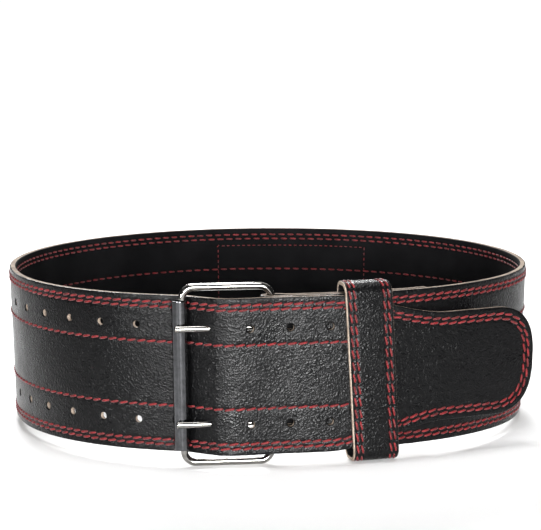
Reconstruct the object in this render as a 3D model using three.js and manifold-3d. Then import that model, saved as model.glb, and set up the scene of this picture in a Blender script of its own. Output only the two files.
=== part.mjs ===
// A weightlifting belt: one wide leather strap, fastened by a two-prong roller buckle.
// Millimetres, +Z up. The belt stands on its lower edge, with the buckle towards -Y.
//
// The belt is laid out on a plan of the waist. A place on it is given by how far it lies along the
// waist from the buckle end of the strap, how far it lies out from the line of the strap, and its
// height above the middle of the strap.

import * as THREE from 'three';
import { mergeVertices } from 'three/addons/utils/BufferGeometryUtils.js';
import Module from 'manifold-3d';

const wasm = await Module();
wasm.setup();

// The waist that the belt closes round, seen from above. The front bows less than the back, and
// the oval is turned a little, so that its nose lies beside the buckle. At its top edge the loop
// is wider than at its middle by the share TOP_WIDER.
const WAIST_HALF_WIDTH = 173;
const FRONT_DEPTH = 151.3;
const BACK_DEPTH = 173.8;
const FRONT_FULLNESS = 2.2;
const BACK_FULLNESS = 2;
const WAIST_TURN = THREE.MathUtils.degToRad(10);
const HEEL_BESIDE_NOSE = 31;
const TOP_WIDER = 0.01;

// The strap, and its buckle end, which is folded back on the inside
const STRAP_WIDTH = 101.6;
const STRAP_THICKNESS = 4.4;
const LAYER_GAP = 0.3;
const FOLD_LENGTH = 121;
const FOLD_CORNER_RADIUS = 8;
const FOLD_OPENS_AT = 25;

// The strap's free end: it narrows to a tongue with a round tip, and bends less than the waist
const TONGUE_WIDTH = 71;
const TAPER_FROM_TIP = 150;
const NARROW_FROM_TIP = 66;
const TIP_ROUND_LENGTH = 32;
const TIP_FULLNESS = 2.6;
const TIP_FLAT = 8;
const TONGUE_BEND_RADIUS = 650;

// Holes for the prongs, in two rows, counted from the tip
const HOLE_ROWS_APART = 62;
const HOLE_COUNT = 12;
const HOLE_PITCH = 26;
const HOLE_RADIUS = 3;
const FIRST_HOLE_FROM_TIP = 148;
const PRONG_HOLE = 4;

// Buckle: a wire frame with a roller on its far bar, and two prongs hooked on its heel bar
const BUCKLE_PAST_STRAP = 8.5;
const BUCKLE_REACH = 57.2;
const WIRE_RADIUS = 2.4;
const BUCKLE_CORNER_RADIUS = 7.5;
const ROLLER_PLAY = 1.8;
const ROLLER_WALL = 0.8;
const ROLLER_SHORT_OF_STRAP = 2.3;
const PRONG_RADIUS = 2.1;
const PRONG_PAST_ROLLER = 4.4;
const PRONG_CHAMFER = 1;
const PRONG_EYE_SWEEP = THREE.MathUtils.degToRad(285);
const METAL_GAP = 0.3;
const SLOT_OUTSIDE = 25;
const SLOT_INSIDE = 18;
const SLOT_CLEARANCE = 0.5;

// The strap's way up from the roller and over the prongs. Lengths are shares of the buckle's reach.
const RAMP_ANGLE = THREE.MathUtils.degToRad(27);
const RAMP_SHARE = 0.4;
const CREST_RISE_SHARE = 0.137;
const CREST_FALL_SHARE = 0.205;
const CREST_FALL_SLOPE = 0.105;

// Rivets through both layers of the buckle end
const RIVET_COLUMNS = [
  { name: 'near', along: 34.7 },
  { name: 'far', along: 98.1 },
];
const RIVET_ROWS = [
  { name: 'top', height: 31.5 },
  { name: 'middle', height: 0 },
  { name: 'bottom', height: -31.5 },
];
const RIVET_HEAD_RADIUS = 5.2;
const RIVET_HEAD_HEIGHT = 1.8;
const RIVET_RIM_HEIGHT = 0.4;
const RIVET_POST_RADIUS = 2;

// Keeper loop, which leans with its top towards the buckle, and sewn patch
const KEEPER_WIDTH = 30;
const KEEPER_PAST_STRAP = 7.7;
const KEEPER_THICKNESS = 2.6;
const KEEPER_AT = 70;
const KEEPER_LEAN = THREE.MathUtils.degToRad(3.5);
const KEEPER_GAP = 0.4;
const PATCH_LENGTH = 118;
const PATCH_HEIGHT = 83;
const PATCH_THICKNESS = 1.2;
const PATCH_CORNER_RADIUS = 3;
const PATCH_AT = 514;

// How finely the curved forms are cut into flat faces
const STRAP_STEP = 9;
const TAPER_STEP = 6;
const RAMP_STEP = 2.4;
const HEEL_STEP = 1.6;
const TIP_STEPS = 9;
const CORNER_STEPS = 5;
const EYE_STEPS = 16;
const KEEPER_STEPS = 3;
const PATCH_STEPS = 18;
const DOME_STEPS = 4;
const WIRE_SIDES = 12;
const HOLE_SIDES = 12;
const RIVET_SIDES = 16;
const ROLLER_SIDES = 24;

const halfThick = STRAP_THICKNESS / 2;
const halfStrap = STRAP_WIDTH / 2;
const halfBuckle = halfStrap + BUCKLE_PAST_STRAP;
const rollerRadius = WIRE_RADIUS + ROLLER_PLAY + ROLLER_WALL;

// The waist, as one closed curve seen from above, running from its nose towards +X
class Waist extends THREE.Curve {
  constructor() {
    super();
    this.arcLengthDivisions = 4000;
  }

  getPoint(t, target = new THREE.Vector2()) {
    const angle = 2 * Math.PI * t - Math.PI / 2;
    const across = Math.cos(angle);
    const back = Math.sin(angle);
    const power = 2 / (back < 0 ? FRONT_FULLNESS : BACK_FULLNESS);
    const depth = back < 0 ? FRONT_DEPTH : BACK_DEPTH;
    target.set(
      WAIST_HALF_WIDTH * Math.sign(across) * Math.abs(across) ** power,
      depth * Math.sign(back) * Math.abs(back) ** power,
    );
    return target.rotateAround(new THREE.Vector2(), WAIST_TURN);
  }
}

const waist = new Waist();
const waistLength = waist.getLength();

// A point seen from above: so far along the waist from the heel, and so far out from it
function onWaist(along, out) {
  const share = THREE.MathUtils.euclideanModulo(along - HEEL_BESIDE_NOSE, waistLength) / waistLength;
  const point = waist.getPointAt(share);
  const ahead = waist.getTangentAt(share);
  return new THREE.Vector2(point.x + out * ahead.y, point.y - out * ahead.x);
}

function place(along, out, height) {
  const point = onWaist(along, out);
  return new THREE.Vector3(point.x, point.y, height);
}

// Closed surface through rings of points. An open row of rings gets a flat cap at each end.
function skin(rings, closed = false) {
  const count = rings[0].length;
  const faces = [];
  const strips = closed ? rings.length : rings.length - 1;
  for (let i = 0; i < strips; i++) {
    const here = i * count;
    const next = ((i + 1) % rings.length) * count;
    for (let k = 0; k < count; k++) {
      const m = (k + 1) % count;
      faces.push(here + k, next + k, next + m, here + k, next + m, here + m);
    }
  }
  if (!closed) {
    const end = (rings.length - 1) * count;
    for (let k = 1; k < count - 1; k++) faces.push(0, k, k + 1, end, end + k + 1, end + k);
  }
  return facingOut(new THREE.BufferGeometry().setFromPoints(rings.flat()).setIndex(faces));
}

// Turns all faces round if they enclose a negative volume
function facingOut(geometry) {
  const index = geometry.index.array;
  const corner = (i) => new THREE.Vector3().fromBufferAttribute(geometry.attributes.position, index[i]);
  let volume = 0;
  for (let i = 0; i < index.length; i += 3) volume += corner(i).dot(corner(i + 1).cross(corner(i + 2)));
  if (volume < 0) index.reverse();
  return geometry;
}

// Round wire along points that lie in one plane. Each point can have its own radius.
function wire(points, planeNormal, radii, closed = false) {
  const rings = points.map((point, i) => {
    const before = points[closed ? (i + points.length - 1) % points.length : Math.max(i - 1, 0)];
    const after = points[closed ? (i + 1) % points.length : Math.min(i + 1, points.length - 1)];
    const ahead = after.clone().sub(before).normalize();
    const side = new THREE.Vector3().crossVectors(planeNormal, ahead);
    return Array.from({ length: WIRE_SIDES }, (_, k) => {
      const angle = (2 * Math.PI * (k + 0.5)) / WIRE_SIDES;
      return point.clone()
        .addScaledVector(side, radii[i] * Math.cos(angle))
        .addScaledVector(planeNormal, radii[i] * Math.sin(angle));
    });
  });
  return skin(rings, closed);
}

// Round bar from one point to another
function peg(from, to, radius, sides) {
  const axis = to.clone().sub(from);
  const geometry = new THREE.CylinderGeometry(radius, radius, axis.length(), sides);
  geometry.applyQuaternion(
    new THREE.Quaternion().setFromUnitVectors(new THREE.Vector3(0, 1, 0), axis.clone().normalize()),
  );
  const middle = from.clone().add(to).multiplyScalar(0.5);
  return geometry.translate(middle.x, middle.y, middle.z);
}

// A geometry as a solid that can be cut, and back again
function solid(geometry) {
  const plain = geometry.clone().deleteAttribute('normal').deleteAttribute('uv');
  const merged = mergeVertices(plain, 1e-5);
  return new wasm.Manifold(new wasm.Mesh({
    numProp: 3,
    vertProperties: Float32Array.from(merged.attributes.position.array),
    triVerts: Uint32Array.from(merged.index.array),
  }));
}

function surface(body) {
  const mesh = body.getMesh();
  const geometry = new THREE.BufferGeometry();
  geometry.setAttribute('position', new THREE.BufferAttribute(mesh.vertProperties, 3));
  return geometry.setIndex(Array.from(mesh.triVerts));
}

// Route of the strap. The heel bar lies in the fold, and the roller on the outside of the strap
// that comes back to it. The tongue lies on the buckle end, clear of the rivet heads.
const wireRoom = WIRE_RADIUS + METAL_GAP;
const foldLine = -(STRAP_THICKNESS + LAYER_GAP);
const heelRadius = wireRoom + halfThick;
const bar = { along: heelRadius + halfThick, out: foldLine / 2 };
const roller = { along: bar.along - BUCKLE_REACH, out: halfThick + METAL_GAP + rollerRadius };
const wrapRadius = roller.out;
const tongueLine = STRAP_THICKNESS + RIVET_HEAD_HEIGHT + LAYER_GAP;
const overHeel = bar.out + heelRadius + STRAP_THICKNESS + LAYER_GAP;
const keeperEnd = KEEPER_AT + KEEPER_WIDTH / 2;

// From the end of the fold to the end of the keeper, in distances along the waist and out from it
function strapRoute() {
  const route = new THREE.Path();
  const opening = FOLD_OPENS_AT - bar.along;
  route.moveTo(FOLD_LENGTH, foldLine);
  route.lineTo(FOLD_OPENS_AT, foldLine);
  route.bezierCurveTo(
    FOLD_OPENS_AT - opening / 2, foldLine,
    bar.along + opening / 2, bar.out - heelRadius,
    bar.along, bar.out - heelRadius,
  );
  route.absarc(bar.along, bar.out, heelRadius, -Math.PI / 2, Math.PI / 2, true);
  route.bezierCurveTo(
    bar.along + opening / 2, bar.out + heelRadius,
    FOLD_OPENS_AT - opening / 2, 0,
    FOLD_OPENS_AT, 0,
  );

  const rollerAlong = waistLength + roller.along;
  const heelAlong = waistLength + bar.along;
  route.lineTo(rollerAlong, 0);
  route.absarc(rollerAlong, roller.out, wrapRadius, -Math.PI / 2, RAMP_ANGLE - Math.PI / 2, false);

  const wrapEnd = route.currentPoint.clone();
  const slope = Math.tan(RAMP_ANGLE);
  const crest = new THREE.Vector2(rollerAlong + RAMP_SHARE * BUCKLE_REACH, 0);
  crest.y = wrapEnd.y + slope * (crest.x - wrapEnd.x);
  route.lineTo(crest.x, crest.y);
  const rise = CREST_RISE_SHARE * BUCKLE_REACH;
  const fall = CREST_FALL_SHARE * BUCKLE_REACH;
  route.bezierCurveTo(
    crest.x + rise * Math.cos(RAMP_ANGLE), crest.y + rise * Math.sin(RAMP_ANGLE),
    heelAlong - fall, overHeel + CREST_FALL_SLOPE * fall,
    heelAlong, overHeel,
  );
  const settle = 0.5 * FOLD_OPENS_AT;
  route.bezierCurveTo(
    heelAlong + settle, overHeel - CREST_FALL_SLOPE * settle,
    heelAlong + settle, tongueLine,
    heelAlong + 2 * settle, tongueLine,
  );
  route.lineTo(waistLength + keeperEnd, tongueLine);
  return route;
}

// The same route seen from above, where lengths are the strap's own
class LaidStrap extends THREE.Curve {
  constructor(route) {
    super();
    this.route = route;
    this.arcLengthDivisions = 3000;
  }

  getPoint(t, target = new THREE.Vector2()) {
    const spot = this.route.getPoint(t);
    return target.copy(onWaist(spot.x, spot.y));
  }
}

const laid = new LaidStrap(strapRoute());
const laidLength = laid.getLength();

// The buckle's plane, seen from above: it runs from the heel bar to the roller
const barPoint = onWaist(bar.along, bar.out);
const rollerPoint = onWaist(roller.along, roller.out);
const reach = rollerPoint.clone().sub(barPoint).normalize();
const outward = new THREE.Vector2(-reach.y, reach.x);

// A prong seen from above: an eye round the heel bar, and a straight shank that leaves it on the
// line that clears both the bar and the roller on their outer side
const eyeRadius = wireRoom + PRONG_RADIUS;
const overRoller = rollerRadius + METAL_GAP + PRONG_RADIUS;
const barToRoller = barPoint.distanceTo(rollerPoint);
const shankTurn = Math.asin((overRoller - eyeRadius) / barToRoller);
const shankAhead = reach.clone().rotateAround(new THREE.Vector2(), shankTurn);
const shankOut = new THREE.Vector2(-shankAhead.y, shankAhead.x);
const shankStart = barPoint.clone().addScaledVector(shankOut, eyeRadius);

// How far along the strap its middle meets the middle of the shanks
function crossing() {
  const height = (s) => laid.getPointAt(s / laidLength).sub(shankStart).dot(shankOut);
  let low = laidLength - keeperEnd + roller.along;
  let high = low - roller.along / 2;
  while (high - low > 0.01) {
    const middle = (low + high) / 2;
    if (height(middle) < 0) low = middle;
    else high = middle;
  }
  return low;
}

const prongAt = crossing();
const strapLength = prongAt + FIRST_HOLE_FROM_TIP + (PRONG_HOLE - 1) * HOLE_PITCH;

// Place and direction of the strap's middle line, by the distance from the end of its fold. Past
// the keeper the tongue springs out on a wide bend.
function strapLine(s) {
  const share = Math.min(s / laidLength, 1);
  const point = laid.getPointAt(share);
  const ahead = laid.getTangentAt(share);
  const free = s - laidLength;
  if (free > 0) {
    const bend = free / TONGUE_BEND_RADIUS;
    const side = new THREE.Vector2(-ahead.y, ahead.x);
    point.addScaledVector(ahead, TONGUE_BEND_RADIUS * Math.sin(bend));
    point.addScaledVector(side, TONGUE_BEND_RADIUS * (1 - Math.cos(bend)));
    ahead.rotateAround(new THREE.Vector2(), bend);
  }
  return { point, ahead };
}

// A point of the strap: its grain side is half its thickness up, its flesh side as far down
function onStrap(s, up, height) {
  const { point, ahead } = strapLine(s);
  return new THREE.Vector3(point.x + up * ahead.y, point.y - up * ahead.x, height);
}

// Half the width of the strap, by the distance from the end of its fold
function strapHalfWidth(s) {
  const fromTip = strapLength - s;
  if (s < FOLD_CORNER_RADIUS) {
    const short = FOLD_CORNER_RADIUS - s;
    return halfStrap - FOLD_CORNER_RADIUS + Math.sqrt(FOLD_CORNER_RADIUS ** 2 - short ** 2);
  }
  if (fromTip < TIP_ROUND_LENGTH) {
    const share = 1 - fromTip / TIP_ROUND_LENGTH;
    return (TONGUE_WIDTH / 2) * (1 - share ** TIP_FULLNESS) ** (1 / TIP_FULLNESS);
  }
  const narrowing = 1 - THREE.MathUtils.smoothstep(fromTip, NARROW_FROM_TIP, TAPER_FROM_TIP);
  return THREE.MathUtils.lerp(halfStrap, TONGUE_WIDTH / 2, narrowing);
}

// Distances along the strap at which it gets a section: even steps, closer where it bends or
// where its outline is round
function strapStations() {
  const heel = FOLD_LENGTH - FOLD_OPENS_AT;
  const rollerStart = laidLength - keeperEnd + roller.along - wrapRadius;
  const stretches = [
    { name: 'fold corners', to: FOLD_CORNER_RADIUS, step: HEEL_STEP },
    { name: 'fold', to: heel, step: STRAP_STEP },
    { name: 'heel', to: heel + 2 * FOLD_OPENS_AT + heelRadius, step: HEEL_STEP },
    { name: 'round the waist', to: rollerStart, step: STRAP_STEP },
    { name: 'roller, ramp and crest', to: laidLength - keeperEnd + FOLD_OPENS_AT, step: RAMP_STEP },
    { name: 'through the keeper', to: strapLength - TAPER_FROM_TIP, step: STRAP_STEP },
    { name: 'taper', to: strapLength - TIP_ROUND_LENGTH, step: TAPER_STEP },
  ];
  const stations = [0];
  for (const { to, step } of stretches) {
    const from = stations.at(-1);
    const count = Math.ceil((to - from) / step);
    for (let i = 1; i <= count; i++) stations.push(THREE.MathUtils.lerp(from, to, i / count));
  }
  const flatShare = (2 * TIP_FLAT) / TONGUE_WIDTH;
  const lastAngle = Math.acos(flatShare ** (TIP_FULLNESS / 2));
  for (let i = 1; i <= TIP_STEPS; i++) {
    const share = Math.sin((lastAngle * i) / TIP_STEPS) ** (2 / TIP_FULLNESS);
    stations.push(strapLength - TIP_ROUND_LENGTH * (1 - share));
  }
  return stations;
}

// Prong: round wire bent to an eye, with a chamfered tip
function prong(height, radius) {
  const points = [];
  const inPlan = (point) => new THREE.Vector3(point.x, point.y, height);
  for (let i = 0; i <= EYE_STEPS; i++) {
    const turn = PRONG_EYE_SWEEP * (i / EYE_STEPS - 1);
    const spoke = shankOut.clone().multiplyScalar(eyeRadius * Math.cos(turn));
    spoke.addScaledVector(shankAhead, eyeRadius * Math.sin(turn));
    points.push(inPlan(barPoint.clone().add(spoke)));
  }
  const shankLength = barToRoller + PRONG_PAST_ROLLER;
  for (const length of [shankLength / 3, shankLength - PRONG_CHAMFER, shankLength]) {
    points.push(inPlan(shankStart.clone().addScaledVector(shankAhead, length)));
  }
  const radii = points.map((_, i) => (i === points.length - 1 ? radius - PRONG_CHAMFER / 2 : radius));
  return wire(points, new THREE.Vector3(0, 0, 1), radii);
}

// How far a cutting body reaches past the face it cuts
const CUT_PAST_FACE = 1;

// The slot through the fold for one prong, longer on the outside. It ends short of the tongue.
function prongSlot(height) {
  const halfWidth = PRONG_RADIUS + SLOT_CLEARANCE;
  const block = (from, to, low, high) => {
    const steps = 4;
    return solid(skin(Array.from({ length: steps + 1 }, (_, i) => {
      const along = THREE.MathUtils.lerp(from, to, i / steps);
      return [
        place(along, low, height - halfWidth), place(along, high, height - halfWidth),
        place(along, high, height + halfWidth), place(along, low, height + halfWidth),
      ];
    })));
  };
  const surround = heelRadius + halfThick + LAYER_GAP / 2;
  return block(-CUT_PAST_FACE, SLOT_OUTSIDE, bar.out - LAYER_GAP, bar.out + surround)
    .add(block(-CUT_PAST_FACE, SLOT_INSIDE, bar.out - surround, bar.out + LAYER_GAP));
}

function strap() {
  const rings = strapStations().map((s) => {
    const half = strapHalfWidth(s);
    return [
      onStrap(s, -halfThick, -half), onStrap(s, halfThick, -half),
      onStrap(s, halfThick, half), onStrap(s, -halfThick, half),
    ];
  });
  let body = solid(skin(rings));
  const cutter = halfThick + CUT_PAST_FACE;
  for (const height of [HOLE_ROWS_APART / 2, -HOLE_ROWS_APART / 2]) {
    for (let i = 1; i <= HOLE_COUNT; i++) {
      if (i === PRONG_HOLE) continue;
      const s = strapLength - FIRST_HOLE_FROM_TIP - (i - 1) * HOLE_PITCH;
      const punch = peg(onStrap(s, -cutter, height), onStrap(s, cutter, height), HOLE_RADIUS, HOLE_SIDES);
      body = body.subtract(solid(punch));
    }
    body = body.subtract(prongSlot(height));
    body = body.subtract(solid(prong(height, PRONG_RADIUS + METAL_GAP)));
  }
  for (const { along } of RIVET_COLUMNS) {
    for (const { height } of RIVET_ROWS) {
      const inside = place(along, foldLine - cutter, height);
      const outside = place(along, cutter, height);
      body = body.subtract(solid(peg(inside, outside, RIVET_POST_RADIUS + METAL_GAP, HOLE_SIDES)));
    }
  }
  return surface(body);
}

// Buckle frame: wire bent to a rectangle. Its far bar bears on the roller's bore.
function buckleFrame() {
  const length = barToRoller - ROLLER_PLAY + METAL_GAP;
  const near = BUCKLE_CORNER_RADIUS;
  const far = length - BUCKLE_CORNER_RADIUS;
  const high = halfBuckle - WIRE_RADIUS - BUCKLE_CORNER_RADIUS;
  const corners = [
    { across: near, height: -high, start: -Math.PI / 2 },
    { across: near, height: high, start: Math.PI },
    { across: far, height: high, start: Math.PI / 2 },
    { across: far, height: -high, start: 0 },
  ];
  const points = [];
  for (const { across, height, start } of corners) {
    for (let k = 0; k <= CORNER_STEPS; k++) {
      const angle = start - (Math.PI / 2) * (k / CORNER_STEPS);
      const spot = barPoint.clone()
        .addScaledVector(reach, across + BUCKLE_CORNER_RADIUS * Math.cos(angle));
      const rise = BUCKLE_CORNER_RADIUS * Math.sin(angle);
      points.push(new THREE.Vector3(spot.x, spot.y, height + rise));
    }
  }
  const planeNormal = new THREE.Vector3(outward.x, outward.y, 0);
  return wire(points, planeNormal, points.map(() => WIRE_RADIUS), true);
}

// Roller: a tube on the far bar, a little shorter than the strap is wide
function rollerTube() {
  const half = halfStrap - ROLLER_SHORT_OF_STRAP;
  const inner = rollerRadius - ROLLER_WALL;
  const profile = [
    new THREE.Vector2(inner, -half), new THREE.Vector2(rollerRadius, -half),
    new THREE.Vector2(rollerRadius, half), new THREE.Vector2(inner, half),
    new THREE.Vector2(inner, -half),
  ];
  return new THREE.LatheGeometry(profile, ROLLER_SIDES)
    .rotateX(Math.PI / 2)
    .translate(rollerPoint.x, rollerPoint.y, 0);
}

// Rivet: a post through both layers with a low dome on each end
function rivet(along, height) {
  const inside = foldLine - halfThick - METAL_GAP;
  const outside = halfThick + METAL_GAP;
  const domeRise = RIVET_HEAD_HEIGHT - METAL_GAP - RIVET_RIM_HEIGHT;
  const dome = (seat, way) => Array.from({ length: DOME_STEPS + 1 }, (_, i) => {
    const angle = (Math.PI / 2) * (i / DOME_STEPS);
    const rim = i === DOME_STEPS ? 0 : RIVET_HEAD_RADIUS * Math.cos(angle);
    return new THREE.Vector2(rim, seat + way * (RIVET_RIM_HEIGHT + domeRise * Math.sin(angle)));
  });
  const profile = [
    ...dome(inside, -1).reverse(), new THREE.Vector2(RIVET_HEAD_RADIUS, inside),
    new THREE.Vector2(RIVET_POST_RADIUS, inside), new THREE.Vector2(RIVET_POST_RADIUS, outside),
    new THREE.Vector2(RIVET_HEAD_RADIUS, outside), ...dome(outside, 1),
  ];
  const foot = place(along, 0, height);
  const axis = place(along, 1, height).sub(foot);
  return new THREE.LatheGeometry(profile, RIVET_SIDES)
    .applyQuaternion(new THREE.Quaternion().setFromUnitVectors(new THREE.Vector3(0, 1, 0), axis))
    .translate(foot.x, foot.y, foot.z);
}

// Keeper: a leather loop round both layers of the buckle end and the tongue on top of them
function keeper() {
  const insideOut = foldLine - halfThick - KEEPER_GAP;
  const outsideOut = tongueLine + halfThick + KEEPER_GAP;
  const middle = (insideOut + outsideOut) / 2;
  const halfDepth = (outsideOut - insideOut) / 2;
  const round = KEEPER_PAST_STRAP - KEEPER_THICKNESS;
  const loop = [];
  for (const [side, end, start] of [[1, 1, 0], [-1, 1, 1], [-1, -1, 2], [1, -1, 3]]) {
    for (let k = 0; k <= CORNER_STEPS; k++) {
      const angle = (Math.PI / 2) * (start + k / CORNER_STEPS);
      loop.push({
        out: middle + side * (halfDepth - round), height: end * halfStrap,
        cos: Math.cos(angle), sin: Math.sin(angle),
      });
    }
  }
  const across = Array.from({ length: KEEPER_STEPS + 1 }, (_, i) => {
    return KEEPER_AT + KEEPER_WIDTH * (i / KEEPER_STEPS - 0.5);
  });
  const rings = loop.map(({ out, height, cos, sin }) => {
    const line = (radius) => {
      const up = height + radius * sin;
      return across.map((at) => place(at - up * Math.tan(KEEPER_LEAN), out + radius * cos, up));
    };
    return [...line(round), ...line(round + KEEPER_THICKNESS).reverse()];
  });
  return skin(rings, true);
}

// Patch: a thin panel sewn on the back of the belt, bare of any mark
function patch() {
  const step = PATCH_LENGTH / PATCH_STEPS;
  const fromEnd = [];
  for (let i = 0; i <= CORNER_STEPS; i++) {
    const angle = (Math.PI / 2) * (i / CORNER_STEPS);
    fromEnd.push(PATCH_CORNER_RADIUS * (1 - Math.cos(angle)));
  }
  for (let s = step; s < PATCH_LENGTH / 2; s += step) fromEnd.push(s);
  const low = halfThick + LAYER_GAP;
  const high = low + PATCH_THICKNESS;
  const ring = (s, along) => {
    const short = Math.max(PATCH_CORNER_RADIUS - s, 0);
    const cut = PATCH_CORNER_RADIUS - Math.sqrt(PATCH_CORNER_RADIUS ** 2 - short ** 2);
    const half = PATCH_HEIGHT / 2 - cut;
    return [
      place(along, low, -half), place(along, high, -half),
      place(along, high, half), place(along, low, half),
    ];
  };
  return skin([
    ...fromEnd.map((s) => ring(s, PATCH_AT - PATCH_LENGTH / 2 + s)),
    ...fromEnd.map((s) => ring(s, PATCH_AT + PATCH_LENGTH / 2 - s)).reverse(),
  ]);
}

const blackLeather = new THREE.MeshStandardMaterial({ color: 0x141416, roughness: 0.42, metalness: 0 });
const darkFabric = new THREE.MeshStandardMaterial({ color: 0x0d0d0f, roughness: 0.85, metalness: 0 });
const nickel = new THREE.MeshStandardMaterial({ color: 0xc9c5bd, roughness: 0.18, metalness: 1 });

const belt = new THREE.Group();

// The loop widens upwards, and each piece with it. A small piece has one level, so that its flat
// faces stay flat.
function addPiece(name, geometry, material, level = null) {
  const position = geometry.attributes.position;
  for (let i = 0; i < position.count; i++) {
    const wider = (TOP_WIDER * (level ?? position.getZ(i))) / halfStrap;
    position.setX(i, position.getX(i) * (1 + wider));
  }
  geometry.computeVertexNormals();
  const mesh = new THREE.Mesh(geometry, material);
  mesh.name = name;
  belt.add(mesh);
}

addPiece('strap', strap(), blackLeather);
addPiece('keeper', keeper(), blackLeather);
addPiece('patch', patch(), darkFabric);
addPiece('buckle_frame', buckleFrame(), nickel);
addPiece('roller', rollerTube(), nickel);
for (const [name, level] of [['prong_upper', HOLE_ROWS_APART / 2], ['prong_lower', -HOLE_ROWS_APART / 2]]) {
  addPiece(name, prong(level, PRONG_RADIUS), nickel, level);
}
for (const { name: column, along } of RIVET_COLUMNS) {
  for (const { name: row, height } of RIVET_ROWS) {
    addPiece(`rivet_${column}_${row}`, rivet(along, height), nickel, height);
  }
}

// The buckle reaches lower than the strap, so the belt leans back on the strap's lower edge. The
// origin lies on the surface, below the middle of the whole.
const box = new THREE.Box3().setFromObject(belt);
const lean = Math.atan(BUCKLE_PAST_STRAP / (box.max.y - box.min.y));
belt.rotation.x = -lean;
const stand = new THREE.Group();
stand.add(belt);
stand.updateMatrixWorld(true);
const stood = new THREE.Box3().setFromObject(stand, true);
const middle = stood.getCenter(new THREE.Vector3());
stand.position.set(-middle.x, -middle.y, -stood.min.z);

export default stand;
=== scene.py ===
# %% [markdown]
# # A weightlifting belt, dressed for the picture
# The belt is one wide leather strap that closes round a waist. It has a roller buckle with two
# prongs, a keeper loop, rivets, a bare patch on its back and red stitches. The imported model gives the
# frame: where everything is and how big it is. This script makes the looks round that frame: rounded
# leather edges, pierced holes, real stitches, polished metal and the light.

# %% Load the frame
import math
import bpy
import numpy as np
from mathutils import Matrix, Vector


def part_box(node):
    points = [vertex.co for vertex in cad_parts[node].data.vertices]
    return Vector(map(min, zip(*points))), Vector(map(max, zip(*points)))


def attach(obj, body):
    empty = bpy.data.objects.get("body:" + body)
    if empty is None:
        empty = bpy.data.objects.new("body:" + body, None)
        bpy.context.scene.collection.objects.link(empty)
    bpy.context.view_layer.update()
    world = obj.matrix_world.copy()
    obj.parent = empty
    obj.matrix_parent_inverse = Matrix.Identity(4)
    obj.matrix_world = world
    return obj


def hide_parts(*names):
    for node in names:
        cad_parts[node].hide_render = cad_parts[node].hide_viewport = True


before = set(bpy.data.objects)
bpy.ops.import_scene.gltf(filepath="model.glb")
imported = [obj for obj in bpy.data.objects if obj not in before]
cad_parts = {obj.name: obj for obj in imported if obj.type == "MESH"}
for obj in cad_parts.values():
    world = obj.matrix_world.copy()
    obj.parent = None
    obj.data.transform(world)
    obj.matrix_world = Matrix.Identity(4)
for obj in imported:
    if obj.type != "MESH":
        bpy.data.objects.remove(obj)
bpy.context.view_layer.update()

print("nodes in the frame:", sorted(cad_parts))

# %% [markdown]
# ## Sizes
# The sizes are those of the part, in millimetres, because a belt is measured so. The last step of
# every shape turns them into metres and sets them in the frame.

# %% Sizes of the belt
WAIST_HALF_WIDTH, FRONT_DEPTH, BACK_DEPTH = 173, 151.3, 173.8
FRONT_FULLNESS, BACK_FULLNESS = 2.2, 2
WAIST_TURN = math.radians(10)
HEEL_BESIDE_NOSE = 31
TOP_WIDER = 0.01

STRAP_THICKNESS = 4.4
HALF_THICK = STRAP_THICKNESS / 2
HALF_STRAP = 50.8
LAYER_GAP = 0.3
FOLD_LENGTH, FOLD_CORNER, FOLD_OPENS_AT = 121, 8, 25
HALF_TONGUE = 35.5
TAPER_FROM_TIP, NARROW_FROM_TIP, TIP_LENGTH = 150, 66, 32
TIP_FULLNESS = 2.6
TONGUE_BEND = 650

HOLE_HEIGHT, HOLE_COUNT, HOLE_PITCH, HOLE_RADIUS = 31, 12, 26, 3.1
FIRST_HOLE_FROM_TIP, PRONG_HOLE = 148, 4

BUCKLE_PAST_STRAP, BUCKLE_REACH, WIRE_RADIUS, BUCKLE_CORNER = 8.5, 57.2, 2.4, 7.5
ROLLER_PLAY, ROLLER_WALL, ROLLER_SHORT = 1.8, 0.8, 2.3
ROLLER_RADIUS = WIRE_RADIUS + ROLLER_PLAY + ROLLER_WALL
PRONG_RADIUS, PRONG_PAST_ROLLER = 2.1, 4.4
METAL_GAP = 0.3
RAMP_ANGLE = math.radians(27)
RAMP_SHARE, CREST_RISE, CREST_FALL, CREST_SLOPE = 0.4, 0.137, 0.205, 0.105
SLOT_OUTSIDE, SLOT_INSIDE, SLOT_HALF_WIDTH = 25, 18, 2.6

RIVET_PLACES = {"near": 34.7, "far": 98.1}
RIVET_HEIGHTS = {"top": 31.5, "middle": 0, "bottom": -31.5}
RIVET_HEAD_RADIUS, RIVET_HEAD_HEIGHT, RIVET_POST_RADIUS = 5.2, 1.8, 2

KEEPER_WIDTH, KEEPER_PAST_STRAP, KEEPER_THICKNESS, KEEPER_AT, KEEPER_GAP = 30, 7.7, 2.6, 70, 0.4
KEEPER_LEAN = math.radians(3.5)
PATCH_AT, PATCH_LENGTH, PATCH_HEIGHT, PATCH_THICKNESS, PATCH_CORNER = 514, 118, 83, 1.2, 3
print("strap", 2 * HALF_STRAP, "mm wide,", STRAP_THICKNESS, "mm thick, two rows of", HOLE_COUNT, "holes")

# %% [markdown]
# ## The waist
# Seen from above, the fastened belt follows an oval. A curve with handles could draw it, but a
# superellipse needs only a few sizes: each coordinate is the cosine or the sine of a turning angle,
# raised to a power a little under one, so the front is fuller than a circle. A table of points along
# it, with the length gone so far, turns a distance along the belt into a place.


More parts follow.
